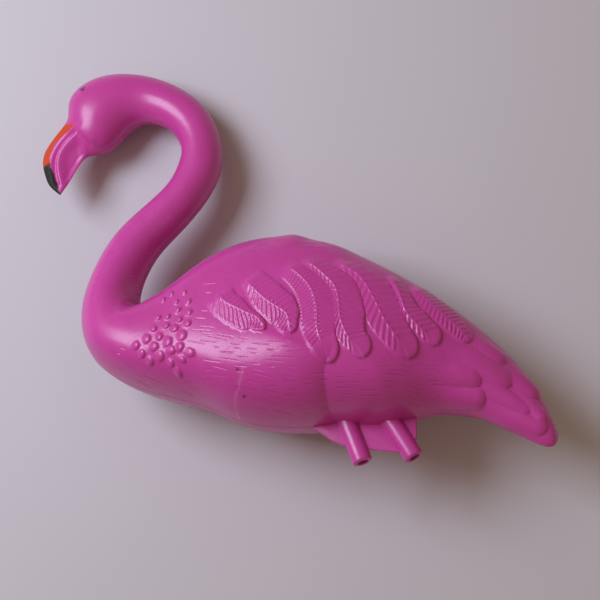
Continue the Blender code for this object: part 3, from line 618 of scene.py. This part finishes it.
def form_relief(x, y, sizes):
    """Large forms: the wing's shoulder, the breast's fold, the profile across the mouth and the cheek."""
    height = np.zeros(len(x))
    for rise_x, rise_y, wide, tall, part in SHOULDER:
        fall = -((x - rise_x) / wide) ** 2 - ((y - rise_y) / tall) ** 2
        height += part * sizes.shoulder / MM * np.exp(fall)
    share, aside = beside_line(sample_line(FOLD_LINE), x, y)
    ahead = np.maximum(-aside, 0)
    swell = (1 - np.exp(-ahead / FOLD_ROUND)) * (1 - ease(ahead / FOLD_BAND))
    raised = (x > FOLD_REACH[0]) * (y < FOLD_REACH[1])
    height += sizes.fold / MM * swell * ease(share / FOLD_STARTS + 0.1) * raised
    share, aside = beside_line(sample_line(MOUTH_LINE), x, y)
    ends = ease(share / LIP_ENDS) * (1 - ease((share - 1 + LIP_ENDS) / LIP_ENDS))
    knots, values = np.transpose(LIP_PROFILE)
    lip = read_cubic(cubic(knots, values[:, None]), aside)[:, 0]
    height += sizes.lip / MM * ends * lip * ease((HEAD_ENDS - x) / HEAD_FADE)
    share, aside = beside_line(sample_line(CHEEK_LINE), x, y)
    ends = ease((share + CHEEK_ENDS) / (2 * CHEEK_ENDS))
    ends *= 1 - ease((share - 1 + CHEEK_ENDS) / (2 * CHEEK_ENDS))
    fade = 1 - ease(np.abs(aside) / CHEEK_BAND)
    side = 2 * ease(0.5 + aside / CHEEK_ROUND) - 1
    height += sizes.cheek / MM / 2 * ends * fade * side * (x < CHEEK_REACH[0]) * (y > CHEEK_REACH[1])
    return height


def relief(x, y, sizes, strokes_kept):
    """Height of the whole relief over the smooth form, in the drawing's millimetres."""
    made = [feather_relief(feather, x, y, sizes) for feather in WING_FEATHERS]
    heights = np.array([height for height, fine in made])
    top = np.argmax(heights, axis=0)
    rows = np.arange(len(x))
    height = heights[top, rows]
    fine = np.array([fine for height, fine in made])[top, rows] * (height > 0.2)
    for feather in TAIL_FEATHERS:
        height = np.maximum(height, tail_relief(feather, x, y, sizes))
    for scale in SCALES:
        height = np.maximum(height, scale_relief(scale, x, y, sizes))
    return height + fine + form_relief(x, y, sizes) + stroke_relief(strokes_kept, x, y, sizes)


def carved_form(s, t, sizes, strokes_kept):
    """Points of the left half with its relief, along the smooth form's own direction outwards."""
    here = smooth_form(s, t)
    tiny_s, tiny_t = 0.05, 0.002
    t_in = np.clip(t, tiny_t, 1 - tiny_t)
    after, before = (np.clip(s + step, 0, BIRD_END) for step in (tiny_s, -tiny_s))
    along = smooth_form(after, t_in) - smooth_form(before, t_in)
    across = smooth_form(s, t_in + tiny_t) - smooth_form(s, t_in - tiny_t)
    out = np.cross(along, across)
    on_seam = (t < 1e-6) | (t > 1 - 1e-6)
    out[on_seam, 2] = 0
    size = np.linalg.norm(out, axis=1)
    out = out / np.where(size < 1e-9, 1, size)[:, None]
    height = relief(here[:, 0], here[:, 1], sizes, strokes_kept)
    from_seam = np.minimum(t, 1 - t) * half_girth(s)
    height = np.where(height < 0, height * ease(from_seam / SEAM_FADE), height)
    on_ridge = 1 - ease((from_seam - SEAM_HALF_WIDTH) / SEAM_SLOPE)
    height += sizes.seam / MM * on_ridge * ease((s - SEAM_STARTS) / SEAM_FADE)
    point = here + out * height[:, None]
    point[on_seam, 2] = 0
    return point


# Lines of the mesh that the relief needs

def along_line(line, spacing):
    """Shares of a line's length, evenly spaced."""
    return np.linspace(0, 1, max(int(line[2] / spacing), 3))


def offset_line(line, shares, aside):
    """Places beside a line at the given shares of its length."""
    place, ahead = line[:2]
    at = shares * (len(place) - 1)
    low = np.clip(at.astype(int), 0, len(place) - 2)
    part = (at - low)[:, None]
    here = place[low] * (1 - part) + place[low + 1] * part
    way = ahead[low] * (1 - part) + ahead[low + 1] * part
    way /= np.linalg.norm(way, axis=1)[:, None]
    return here + np.stack([-way[:, 1], way[:, 0]], axis=1) * np.asarray(aside)[:, None]


def top_feather(x, y, sizes):
    """Number of the wing feather that shows at each place, or -1."""
    heights = np.array([feather_relief(feather, x, y, sizes)[0] for feather in WING_FEATHERS])
    return np.where(heights.max(axis=0) > FEATHER_SHOWS, np.argmax(heights, axis=0), -1)


def split_runs(line, keep):
    """The unbroken parts of a line where keep holds."""
    edges = np.flatnonzero(np.diff(np.concatenate([[0], keep.astype(int), [0]])))
    for first, last in zip(edges[::2], edges[1::2]):
        yield line[first:last]


def feather_lines(sizes):
    """Midribs, barbs and edges of the wing feathers, where they show."""
    candidates = []
    for number, (points, front, rear, pitch, slant, barbs_end) in enumerate(WING_FEATHERS):
        line = sample_line(points, 200)
        length = line[2]
        shares = along_line(line, 1.6)
        shares = shares[(shares > 0.06) & (shares < 0.99)]
        for aside in MIDRIB_LINES:
            place = offset_line(line, shares, np.full(len(shares), aside))
            candidates.append((number, place, place))
        body = np.arange(0.08, TIP_STARTS, 1.5 / length)
        turn = np.radians(np.arange(0, 86, 9.0))
        for widths, side in ((front, -1), (rear, 1)):
            inside = None
            for over in (*WING_RIM, sizes.ramp / MM + PAST_RAMP):
                rim = offset_line(line, body, side * (vane_width(widths, body) + over))
                tip_reach = vane_width(widths, TIP_STARTS) + over
                tip_share = TIP_STARTS + (1 - TIP_STARTS + over / length) * np.sin(turn)
                tip = offset_line(line, np.minimum(tip_share, 1.05), side * tip_reach * np.cos(turn))
                whole = np.vstack([rim, tip])
                inside = whole if inside is None else inside
                candidates.append((number, whole, inside))
            sweep = slant if side < 0 else slant * REAR_SLANT
            parts = FRONT_BARB_LINES if side < 0 else REAR_BARB_LINES
            reach = np.arange(1.6, max(widths) - 1.2, 1.7)
            for barb in np.arange(0, barbs_end * length / pitch):
                for part in parts:
                    start = (barb + part) * pitch / length
                    share = start + barb_slant(start, sweep) * reach / length
                    width = vane_width(widths, share)
                    past_tip = np.maximum(share - TIP_STARTS, 0) / (1 - TIP_STARTS)
                    shows = np.hypot(reach / width, past_tip) < 0.92
                    shows &= (reach < width - 1.6) & (share > 0.06) & (share < 0.98)
                    if shows.sum() > 1:
                        place = offset_line(line, share[shows], side * reach[shows])
                        candidates.append((number, place, place))
    probe = np.vstack([inside for number, place, inside in candidates])
    top = top_feather(probe[:, 0], probe[:, 1], sizes)
    first = 0
    for number, place, inside in candidates:
        shows = top[first:first + len(inside)] == number
        first += len(inside)
        yield from split_runs(place, shows)


def tail_lines(sizes):
    """Edges of the tail feathers, where they show."""
    for number, (root_x, root_y, tip_x, tip_y, half) in enumerate(TAIL_FEATHERS):
        length = math.hypot(tip_x - root_x, tip_y - root_y)
        ahead = np.array([tip_x - root_x, tip_y - root_y]) / length
        beside = np.array([-ahead[1], ahead[0]])
        centre = np.array([tip_x, tip_y]) - ahead * half
        inside = None
        for over in (*TAIL_RIM, sizes.ramp / MM + PAST_RAMP):
            reach = half + over
            straight = centre - np.arange((length - half) * 0.8, 0, -1.6)[:, None] * ahead
            turn = np.radians(np.arange(-90, 91, 12.0))
            arc = centre + np.cos(turn)[:, None] * ahead * reach + np.sin(turn)[:, None] * beside * reach
            whole = np.vstack([straight - beside * reach, arc, straight[::-1] + beside * reach])
            if inside is None:
                inside = whole
                heights = np.array([tail_relief(other, *inside.T, sizes) for other in TAIL_FEATHERS])
                shows = (np.argmax(heights, axis=0) == number) & (heights.max(axis=0) > TAIL_SHOWS)
            yield from split_runs(whole, shows)


def black_edge(x):
    """The y at which the upper bill's paint turns black."""
    return BLACK_FROM[1] + BLACK_SLOPE * (x - BLACK_FROM[0])


def small_lines(strokes_kept):
    """Lines of the scales, strokes, mouth, cheek, fold, paint, scratch, eyes and specks."""
    for centre_x, centre_y, long, wide in SCALES:
        way = scale_way(centre_y)
        turn = np.linspace(0, 2 * math.pi, 17)
        ring = np.outer(np.cos(turn) * long, (math.cos(way), math.sin(way)))
        ring += np.outer(np.sin(turn) * wide, (-math.sin(way), math.cos(way)))
        for share in SCALE_RINGS:
            yield np.array((centre_x, centre_y)) + ring * share
    for ax, ay, bx, by, share in strokes_kept:
        ahead = np.array([bx - ax, by - ay])
        beside = np.array([-ahead[1], ahead[0]]) / np.linalg.norm(ahead)
        count = max(int(np.linalg.norm(ahead) / 2.4), 4)
        middle = np.array([ax, ay]) + np.linspace(0, 1, count)[:, None] * ahead
        for aside in STROKE_LINES:
            yield middle + beside * aside
    for points, offsets in MESH_LINES:
        line = sample_line(points, 120)
        shares = along_line(line, 1.3)
        for aside in offsets:
            yield offset_line(line, shares, np.full(len(shares), aside))
    for x, y, radius in EYE + SPECKS:
        turn = np.linspace(0, 2 * math.pi, 13)
        ring = np.stack([np.cos(turn), np.sin(turn)], axis=1) * radius
        for share in SPOT_RINGS:
            yield np.array((x, y)) + ring * share
    for over in (-1.0, 1.0):
        x = np.arange(BLACK_FROM[0] - 10, BLACK_FROM[0] + 10, 1.2)
        yield np.stack([x, black_edge(x) + over], axis=1)


# Mesh of the shell, worked out on the unrolled left half: s along it, girth across it

def unroll(s, t):
    """Place on the unrolled half."""
    return np.stack([s, (t - 0.5) * half_girth(s)], axis=1)


def wanted_cell(s, x, y, cell):
    """Wanted edge length, in millimetres: finer on bill, head, neck, wing, breast scales and tail."""
    size = np.full(len(x), cell)
    size[(s > HEAD_TO) & (s < NECK_TO)] = cell * NECK_SHARE
    for low_x, high_x, low_y, high_y, fine in FINE_AREAS:
        size[(x > low_x) & (x < high_x) & (y > low_y) & (y < high_y)] = fine
    size[s < HEAD_TO] = WING_CELL
    size[s < BILL_TO] = BILL_CELL
    return size


def free_places(fixed, cell):
    """Free points in even rows, no closer to the fixed ones than most of a cell."""
    tree = kdtree.KDTree(len(fixed))
    for i, place in enumerate(fixed):
        tree.insert(place, i)
    tree.balance()
    made = []
    for size in (BILL_CELL, SCALES_CELL, TAIL_CELL, WING_CELL, cell * NECK_SHARE, cell):
        for number, s in enumerate(np.arange(0, BIRD_END, size * ROW_SHARE)):
            count = max(int(round(float(half_girth(np.array([s]))[0]) / size)), 2)
            t = (np.arange(count + 1) + (0.5 if number % 2 else 0.0)) / count
            t = t[(t > 0.4 / count) & (t < 1 - 0.4 / count)]
            here = smooth_form(np.full(len(t), s), t)
            fits = np.abs(wanted_cell(np.full(len(t), s), here[:, 0], here[:, 1], cell) - size) < 1e-6
            for point, at in zip(here[fits], t[fits]):
                if tree.find(point)[2] > size * FREE_SHARE:
                    made.append((s, at))
    made = np.array(made)
    return unroll(made[:, 0], made[:, 1])


def seam_places(t, cell):
    """Places of the seam's points along the front line (t = 0) or back line (t = 1)."""
    s = np.linspace(0, BIRD_END, 6000)
    line = smooth_form(s, np.full(len(s), float(t)))
    size = wanted_cell(s[1:], line[1:, 0], line[1:, 1], cell)
    run = np.concatenate([[0.0], np.cumsum(np.linalg.norm(np.diff(line, axis=0), axis=1) / size)])
    return np.interp(np.linspace(0, run[-1], int(run[-1]) + 1), run, s)


def half_shell(sizes):
    """Points and faces of the left half, and which points are on the seam."""
    cell = sizes.cell / MM
    strokes_kept = bare_strokes()
    front, back = seam_places(0, cell), seam_places(1, cell)
    outline = np.stack([
        np.concatenate([front, back[-2:0:-1]]),
        np.concatenate([np.zeros(len(front)), np.ones(len(back) - 2)])], axis=1)
    tips = np.array([(s, 0.5) for s in (1.5, 4.0, BIRD_END - 4.0, BIRD_END - 1.5)])
    runs, edges = [outline, tips], []
    first = len(outline) + len(tips)
    for side, places in ((0, front), (1, back)):
        places = places[(places > 10) & (places < BIRD_END - 6)]
        for away in SEAM_LINES:
            t = away / half_girth(places)
            runs.append(np.stack([places, 1 - t if side else t], axis=1))
            edges.extend((first + i, first + i + 1) for i in range(len(places) - 1))
            first += len(places)
    lines = list(feather_lines(sizes)) + list(tail_lines(sizes)) + list(small_lines(strokes_kept))
    every = np.vstack(lines)
    s, t, good = locate(every[:, 0], every[:, 1])
    start = 0
    for line in lines:
        part = slice(start, start + len(line))
        start += len(line)
        for run in split_runs(np.stack([s[part], t[part]], axis=1), good[part]):
            runs.append(run)
            edges.extend((first + i, first + i + 1) for i in range(len(run) - 1))
            first += len(run)
    fixed = np.concatenate(runs)
    free = free_places(smooth_form(fixed[:, 0], fixed[:, 1]), cell)
    flat = [Vector(place) for place in np.concatenate([unroll(fixed[:, 0], fixed[:, 1]), free])]
    same = 2e-3
    found = delaunay_2d_cdt(flat, edges, [list(range(len(outline)))], 0, same, True)
    places = np.array([place[:] for place in found[0]])
    s = np.clip(places[:, 0], 0, BIRD_END)
    t = np.clip(places[:, 1] / half_girth(s) + 0.5, 0, 1)
    on_line = 1e-3
    t = np.where(t < on_line, 0.0, np.where(t > 1 - on_line, 1.0, t))
    faces = np.array([tuple(face) for face, within in zip(found[2], found[5]) if within and len(face) == 3])
    return carved_form(s, t, sizes, strokes_kept), faces, (t == 0) | (t == 1)


def both_halves(points, faces, on_seam):
    """The left half and its mirror image, sharing the seam's points."""
    mirror = np.empty(len(points), int)
    mirror[on_seam] = np.flatnonzero(on_seam)
    mirror[~on_seam] = len(points) + np.arange((~on_seam).sum())
    right = points[~on_seam] * (1, 1, -1)
    return np.vstack([points, right]), np.vstack([faces, mirror[faces][:, ::-1]])


def laid(points):
    """Points of the drawing, in millimetres, as the bird lies, in metres."""
    return np.asarray(points) * MM @ np.array(LAY.to_3x3()).T + np.array(LAY.translation)


def lay_matrix():
    """From the drawing, in metres, to the bird as it lies."""
    axis = Vector((math.cos(LEAN_TOWARDS + math.pi / 2), math.sin(LEAN_TOWARDS + math.pi / 2), 0))
    lean = Matrix.Rotation(LEAN_ANGLE, 4, axis)
    turn = Matrix.Rotation(-math.pi / 2 - LEGS_POINT, 4, "Z")
    return Matrix.Translation(-MIDDLE) @ turn @ lean


LAY = lay_matrix()


def new_piece(name, points, faces):
    """Smooth mesh object from points in metres."""
    mesh = bpy.data.meshes.new(name)
    places = np.asarray(points, float).tolist()
    mesh.from_pydata([tuple(place) for place in places], [], [tuple(face) for face in faces])
    mesh.update()
    mesh.shade_smooth()
    piece = bpy.data.objects.new(name, mesh)
    bpy.context.scene.collection.objects.link(piece)
    return piece


def add_mask(piece, name, values):
    """Stores one value for each point of a piece."""
    mask = piece.data.attributes.new(name, "FLOAT", "POINT")
    mask.data.foreach_set("value", np.asarray(values, np.float32))


def paint_masks(points):
    """Shares of orange paint, black paint and scratch at points of the drawing."""
    x, y, z = points.T
    share, aside = beside_line(sample_line(PAINT_LINE, 200), x, y)
    wobble = 0.25 * np.sin(share * 37) + 0.15 * np.sin(share * 91)      # unsteady hand along the edge
    under = beside_line(sample_line(BROW_LINE, 60), x, y)[1]
    painted = ease(0.5 - (aside + wobble) / PAINT_BLEND) * ease(0.5 - under / PAINT_BLEND)
    painted *= (x < PAINT_REACH[0]) * (y > PAINT_REACH[1])
    black = painted * ease(0.5 - (y - black_edge(x)) / BLACK_BLEND)
    for spot_x, spot_y, radius in EYE:
        black = np.maximum(black, 0.9 * ease(1.5 - np.hypot(x - spot_x, (y - spot_y) * 1.15) / radius))
    for spot_x, spot_y, radius in SPECKS:
        speck = ease(1.6 - np.hypot(x - spot_x, y - spot_y) / radius)
        black = np.maximum(black, 0.85 * (z > 0) * speck)
    share, aside = beside_line(sample_line(SCRATCH, 100), x, y)
    scratch = 1 - ease(np.abs(aside) / SCRATCH_HALF_WIDTH)
    scratch *= (share > 0) * (share < 1) * (z > 0) * (y < SCRATCH_TOP)
    return painted, black, scratch


def turned(profile, end, away, sides=48):
    """Round closed form, its axis in the mid-plane: profile holds distance back from end, and radius."""
    end = np.array([*end, 0.0])
    ahead = np.array([math.cos(away), math.sin(away), 0.0])
    beside = np.array([-ahead[1], ahead[0], 0.0])
    turn = np.linspace(0, 2 * math.pi, sides, endpoint=False)
    ring = np.cos(turn)[:, None] * beside + np.sin(turn)[:, None] * np.array([0, 0, 1.0])
    points = [end - ahead * profile[0][0]]
    for back, radius in profile[1:-1]:
        points.extend(end - ahead * back + ring * radius)
    points.append(end - ahead * profile[-1][0])
    last = len(points) - 1
    faces = [(0, 1 + i, 1 + (i + 1) % sides) for i in range(sides)]
    for number in range(len(profile) - 3):
        near, far = 1 + number * sides, 1 + (number + 1) * sides
        faces += [(near + i, far + i, far + (i + 1) % sides, near + (i + 1) % sides) for i in range(sides)]
    near = 1 + (len(profile) - 3) * sides
    faces += [(near + i, last, near + (i + 1) % sides) for i in range(sides)]
    return points, faces


def socket_profile(sizes, shown):
    """Profile of a socket from the floor of its bore out over its rim and back to its root."""
    bore, outer = sizes.bore / MM / 2, sizes.outer / MM / 2
    depth, root = sizes.depth / MM, sizes.root / MM
    thick = outer + 0.15                                # the socket is a little thicker in the belly
    profile = [(depth, 0), (depth, bore * 0.6), (depth - 0.4, bore * 0.93), (depth - 2, bore)]
    profile.append((MOUTH_ROUND * 2, bore))
    for angle in (20, 45, 70, 90):
        turn = math.radians(angle)
        profile.append((MOUTH_ROUND * (1 - math.sin(turn)), bore + MOUTH_ROUND * (1 - math.cos(turn))))
    for angle in range(0, 91, 15):
        turn = math.radians(angle)
        profile.append((RIM_ROUND * (1 - math.cos(turn)), outer - RIM_ROUND + RIM_ROUND * math.sin(turn)))
    return profile + [(8, outer), (shown + root * 0.4, thick), (shown + root, thick), (shown + root, 0)]


def web_form(sizes):
    """Flat web with rounded edges, as rings of points round its outline."""
    corners = np.array(WEB_OUTLINE, float)
    outline = []
    for here, after in zip(corners, np.roll(corners, -1, axis=0)):
        count = max(int(np.linalg.norm(after - here) / 4), 1)
        outline.extend(here + (after - here) * i / count for i in range(count))
    outline = np.array(outline)
    ahead = np.roll(outline, -1, axis=0) - np.roll(outline, 1, axis=0)
    ahead /= np.linalg.norm(ahead, axis=1)[:, None]
    inward = np.stack([-ahead[:, 1], ahead[:, 0]], axis=1)
    half = sizes.web / MM / 2
    rings = []
    for angle in (-90, -60, -30, 0):
        turn = math.radians(angle)
        rings.append((WEB_ROUND * (1 - math.cos(turn)), -half + WEB_ROUND + WEB_ROUND * math.sin(turn)))
    rings += [(inset, -z) for inset, z in rings[::-1]]
    points, faces, count = [], [], len(outline)
    for inset, z in rings:
        points.extend([*place, z] for place in outline + inward * inset)
    for ring in range(len(rings) - 1):
        near, far = ring * count, (ring + 1) * count
        faces += [(near + i, near + (i + 1) % count, far + (i + 1) % count, far + i) for i in range(count)]
    faces.append(tuple(range(count - 1, -1, -1)))
    faces.append(tuple(range((len(rings) - 1) * count, len(rings) * count)))
    return points, faces


# Materials

def node(tree, kind, inputs=(), **settings):
    """A new node with its settings, and values or links for its inputs."""
    made = tree.nodes.new(kind)
    for name, value in settings.items():
        setattr(made, name, value)
    for name, value in dict(inputs).items():
        if isinstance(value, bpy.types.NodeSocket):
            tree.links.new(value, made.inputs[name])
        else:
            made.inputs[name].default_value = value
    return made


def new_group(name, inputs, outputs):
    """Empty shader group with named inputs and outputs."""
    group = bpy.data.node_groups.new(name, "ShaderNodeTree")
    for title, kind, value in inputs:
        socket = group.interface.new_socket(name=title, in_out="INPUT", socket_type=kind)
        socket.default_value = value
    for title, kind in outputs:
        group.interface.new_socket(name=title, in_out="OUTPUT", socket_type=kind)
    return group, group.nodes.new("NodeGroupInput"), group.nodes.new("NodeGroupOutput")


def mix_colour(tree, factor, first, second):
    """Mix of two colours, each a socket or a colour."""
    factor_at, first_at, second_at, mix_at = 0, 6, 7, 2         # places of a Mix node's colour sockets
    inputs = {factor_at: factor, first_at: first, second_at: second}
    return node(tree, "ShaderNodeMix", inputs, data_type="RGBA").outputs[mix_at]


def noise(tree, place, scale, detail, roughness=0.5):
    """Values of a noise of the given scale."""
    inputs = {"Vector": place, "Scale": scale, "Detail": detail, "Roughness": roughness}
    return node(tree, "ShaderNodeTexNoise", inputs).outputs["Fac"]


def maths(tree, operation, first, second):
    """Sum, product or the like of two values."""
    return node(tree, "ShaderNodeMath", {0: first, 1: second}, operation=operation).outputs[0]


def spread(tree, value, low, high, least, most):
    """A value that runs from low to high, spread from least to most."""
    inputs = {"Value": value, "From Min": low, "From Max": high, "To Min": least, "To Max": most}
    return node(tree, "ShaderNodeMapRange", inputs).outputs[0]


def moulded_plastic_group():
    """Colour, roughness and fine surface of blow-moulded plastic that has stood outdoors."""
    if "moulded_plastic" in bpy.data.node_groups:
        return bpy.data.node_groups["moulded_plastic"]
    group, given, out = new_group(
        "moulded_plastic",
        (("Colour", "NodeSocketColor", (0.6, 0.05, 0.34, 1)),
         ("Deep colour", "NodeSocketColor", (0.5, 0.03, 0.25, 1)),
         ("Roughness", "NodeSocketFloat", 0.33), ("Scuffs", "NodeSocketFloat", 1.0)),
        (("Colour", "NodeSocketColor"), ("Roughness", "NodeSocketFloat"), ("Height", "NodeSocketFloat")))
    place = node(group, "ShaderNodeTexCoord").outputs["Object"]
    clouds = noise(group, place, 9.0, 3.0, 0.55)
    streaked = node(group, "ShaderNodeMapping", {"Vector": place, "Scale": (30.0, 9.0, 30.0)}).outputs[0]
    thick = maths(group, "ADD", clouds, noise(group, streaked, 2.2, 4.0, 0.6))
    deeper = spread(group, thick, 0.75, 1.3, 0.0, 0.55)
    colour = mix_colour(group, deeper, given.outputs["Colour"], given.outputs["Deep colour"])
    dust = spread(group, noise(group, place, 240.0, 2.0, 0.7), 0.68, 0.80, 0.0, 0.22)
    slant = {"Vector": place, "Rotation": (0.3, 0.2, 0.5), "Scale": (55.0, 420.0, 160.0)}
    slanted = node(group, "ShaderNodeMapping", slant).outputs[0]
    scuffs = spread(group, noise(group, slanted, 1.0, 3.0), 0.60, 0.74, 0.0, 0.16)
    uneven = spread(group, clouds, 0.3, 0.7, -0.035, 0.045)
    rough = maths(group, "ADD", given.outputs["Roughness"], uneven)
    rough = maths(group, "ADD", rough, maths(group, "MULTIPLY", scuffs, given.outputs["Scuffs"]))
    fine = maths(group, "MULTIPLY", noise(group, place, 900.0, 1.0), 0.12)
    peel = maths(group, "ADD", noise(group, place, 130.0, 2.0, 0.45), fine)
    group.links.new(mix_colour(group, dust, colour, DUST_COLOUR), out.inputs["Colour"])
    group.links.new(rough, out.inputs["Roughness"])
    group.links.new(peel, out.inputs["Height"])
    return group


def plastic_material(name, finish, painted):
    """Glossy pink plastic, with the bill's and eyes' paint where the piece carries its masks."""
    material = bpy.data.materials.new(name)
    material.use_nodes = True
    tree = material.node_tree
    shader = tree.nodes["Principled BSDF"]
    for title, value in (
            ("IOR", 1.5), ("Coat Weight", HAZE), ("Coat Roughness", 0.6), ("Subsurface Weight", 0.06),
            ("Subsurface Radius", (0.006, 0.0012, 0.003)), ("Subsurface Scale", 1.0)):
        shader.inputs[title].default_value = value
    plastic = node(tree, "ShaderNodeGroup", node_tree=moulded_plastic_group())
    plastic.inputs["Colour"].default_value = finish.pink
    plastic.inputs["Deep colour"].default_value = finish.deep
    plastic.inputs["Roughness"].default_value = finish.gloss
    colour, rough = plastic.outputs["Colour"], plastic.outputs["Roughness"]
    if painted:
        orange, black, scratch = (
            node(tree, "ShaderNodeAttribute", attribute_name=mask).outputs["Fac"] for mask in MASKS)
        colour = mix_colour(tree, orange, colour, tuple(finish.orange))
        colour = mix_colour(tree, black, colour, tuple(finish.black))
        colour = mix_colour(tree, maths(tree, "MULTIPLY", scratch, SCRATCH_SHARE), colour, SCRATCH_COLOUR)
        rough = maths(tree, "ADD", rough, maths(tree, "MULTIPLY", orange, FLAT_ORANGE))
        haze = spread(tree, maths(tree, "MAXIMUM", orange, black), 0.0, 1.0, HAZE, 0.0)
        tree.links.new(haze, shader.inputs["Coat Weight"])
    bump = node(
        tree, "ShaderNodeBump", {"Strength": 0.35, "Distance": 0.0004, "Height": plastic.outputs["Height"]})
    tree.links.new(colour, shader.inputs["Base Color"])
    tree.links.new(rough, shader.inputs["Roughness"])
    tree.links.new(bump.outputs[0], shader.inputs["Normal"])
    return material


def floor_material(stage):
    """Plain pale matt floor with a faint unevenness."""
    material = bpy.data.materials.new("pale_floor")
    material.use_nodes = True
    tree = material.node_tree
    shader = tree.nodes["Principled BSDF"]
    place = node(tree, "ShaderNodeTexCoord").outputs["Object"]
    share = spread(tree, noise(tree, place, 3.0, 4.0), 0.3, 0.7, 0.0, 0.12)
    darker = tuple(value * 0.9 for value in stage.floor[:3]) + (1.0,)
    tree.links.new(mix_colour(tree, share, tuple(stage.floor), darker), shader.inputs["Base Color"])
    shader.inputs["Roughness"].default_value = 0.85
    shader.inputs["Specular IOR Level"].default_value = 0.25
    return material


# Camera's place

def camera_matrix():
    """Pose of the camera: it looks at the drawing's origin, with the mid-plane tipped away from it."""
    tip = CAMERA_TIP_WAY.normalized()
    normal = Vector((tip.x * math.sin(CAMERA_TIP), tip.y * math.sin(CAMERA_TIP), math.cos(CAMERA_TIP)))
    to_camera = Vector((0, 0, 1)).rotation_difference(normal).to_matrix().to_4x4()
    return LAY @ to_camera.inverted() @ Matrix.Translation((0, 0, CAMERA_AWAY))


# Operators

class FLAMINGO_OT_shell(bpy.types.Operator):
    """Build the moulded shell with feathers, scales, bill, paint and parting seam"""
    bl_idname = "flamingo.shell"
    bl_label = "Shell"

    def execute(self, context):
        sizes = context.scene.flamingo_relief
        points, faces, on_seam = half_shell(sizes)
        points, faces = both_halves(points, faces, on_seam)
        lying = laid(points)
        lying[:, 2] = np.maximum(lying[:, 2], 0)        # flat spots where it lies on the floor
        shell = new_piece("flamingo_shell", lying, faces)
        for name, values in zip(MASKS, paint_masks(points)):
            add_mask(shell, name, values)
        material = plastic_material("pink_plastic_shell", context.scene.flamingo_finish, True)
        shell.data.materials.append(material)
        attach(shell, "root")
        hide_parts("flamingo")
        return {"FINISHED"}


class FLAMINGO_OT_sockets(bpy.types.Operator):
    """Build the two leg sockets and the web between them"""
    bl_idname = "flamingo.sockets"
    bl_label = "Leg sockets"

    def execute(self, context):
        sizes = context.scene.flamingo_sockets
        material = plastic_material("pink_plastic_sockets", context.scene.flamingo_finish, False)
        forms = [("belly_web", *web_form(sizes))]
        for name, (x, y, away, shown) in zip(("front_leg_socket", "rear_leg_socket"), SOCKETS):
            forms.append((name, *turned(socket_profile(sizes, shown), (x, y), math.radians(away))))
        for name, points, faces in forms:
            piece = new_piece(name, laid(points), faces)
            piece.data.materials.append(material)
            piece.data.set_sharp_from_angle(angle=SHARP_FROM)
            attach(piece, "root")
        return {"FINISHED"}


class FLAMINGO_OT_stage(bpy.types.Operator):
    """Lay out the pale floor, the soft light and the camera"""
    bl_idname = "flamingo.stage"
    bl_label = "Floor, light and camera"

    def execute(self, context):
        scene, stage = context.scene, context.scene.flamingo_stage
        far = FLOOR_REACH
        corners = [(-far, -far, 0), (far, -far, 0), (far, far, 0), (-far, far, 0)]
        floor = new_piece("floor", corners, [(0, 1, 2, 3)])
        floor.data.materials.append(floor_material(stage))
        floor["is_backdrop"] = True
        camera = bpy.data.objects.new("camera", bpy.data.cameras.new("camera"))
        camera.data.sensor_width = 36.0
        camera.data.lens = CAMERA_LENS
        camera.data.clip_start, camera.data.clip_end = CAMERA_CLIP
        camera.matrix_world = camera_matrix()
        scene.collection.objects.link(camera)
        scene.camera = camera
        window = bpy.data.objects.new("window", bpy.data.lights.new("window", "AREA"))
        window.data.shape = "SQUARE"
        window.data.size = WINDOW_SIDE
        window.data.energy = stage.key
        window.data.color = stage.key_colour
        window.location = (camera_matrix().to_3x3() @ WINDOW_WAY).normalized() * WINDOW_AWAY
        window.rotation_mode = "QUATERNION"
        window.rotation_quaternion = window.location.to_track_quat("Z", "Y")
        scene.collection.objects.link(window)
        world = bpy.data.worlds.new("room")
        world.use_nodes = True
        background = world.node_tree.nodes["Background"]
        background.inputs["Color"].default_value = (*stage.room_colour, 1)
        background.inputs["Strength"].default_value = stage.room
        scene.world = world
        scene.view_settings.view_transform = "Standard"
        return {"FINISHED"}


class FLAMINGO_PT_panel(bpy.types.Panel):
    """Flamingo pieces and settings"""
    bl_label = "Flamingo"
    bl_idname = "FLAMINGO_PT_panel"
    bl_space_type = "VIEW_3D"
    bl_region_type = "UI"
    bl_category = "Flamingo"

    def draw(self, context):
        scene = context.scene
        for operator, settings in (
                (FLAMINGO_OT_shell, scene.flamingo_relief), (FLAMINGO_OT_sockets, scene.flamingo_sockets),
                (FLAMINGO_OT_stage, scene.flamingo_stage), (None, scene.flamingo_finish)):
            box = self.layout.box()
            if operator:
                box.operator(operator.bl_idname)
            for name in type(settings).__annotations__:
                box.prop(settings, name)


SETTINGS = (
    ("flamingo_relief", FlamingoRelief), ("flamingo_sockets", FlamingoSockets),
    ("flamingo_finish", FlamingoFinish), ("flamingo_stage", FlamingoStage),
)
CLASSES = (
    *(group for name, group in SETTINGS),
    FLAMINGO_OT_shell, FLAMINGO_OT_sockets, FLAMINGO_OT_stage, FLAMINGO_PT_panel,
)


def register():
    for one in CLASSES:
        bpy.utils.register_class(one)
    for name, group in SETTINGS:
        setattr(bpy.types.Scene, name, PointerProperty(type=group))


def unregister():
    for name, group in reversed(SETTINGS):
        delattr(bpy.types.Scene, name)
    for one in reversed(CLASSES):
        bpy.utils.unregister_class(one)


def main():
    register()
    bpy.ops.flamingo.stage()
    bpy.ops.flamingo.shell()
    bpy.ops.flamingo.sockets()
    boxes = (("cad", CAD_BOX), ("visual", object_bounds()))
    corners = {name: [list(corner) for corner in box] for name, box in boxes}


if __name__ == "__main__":
    main()
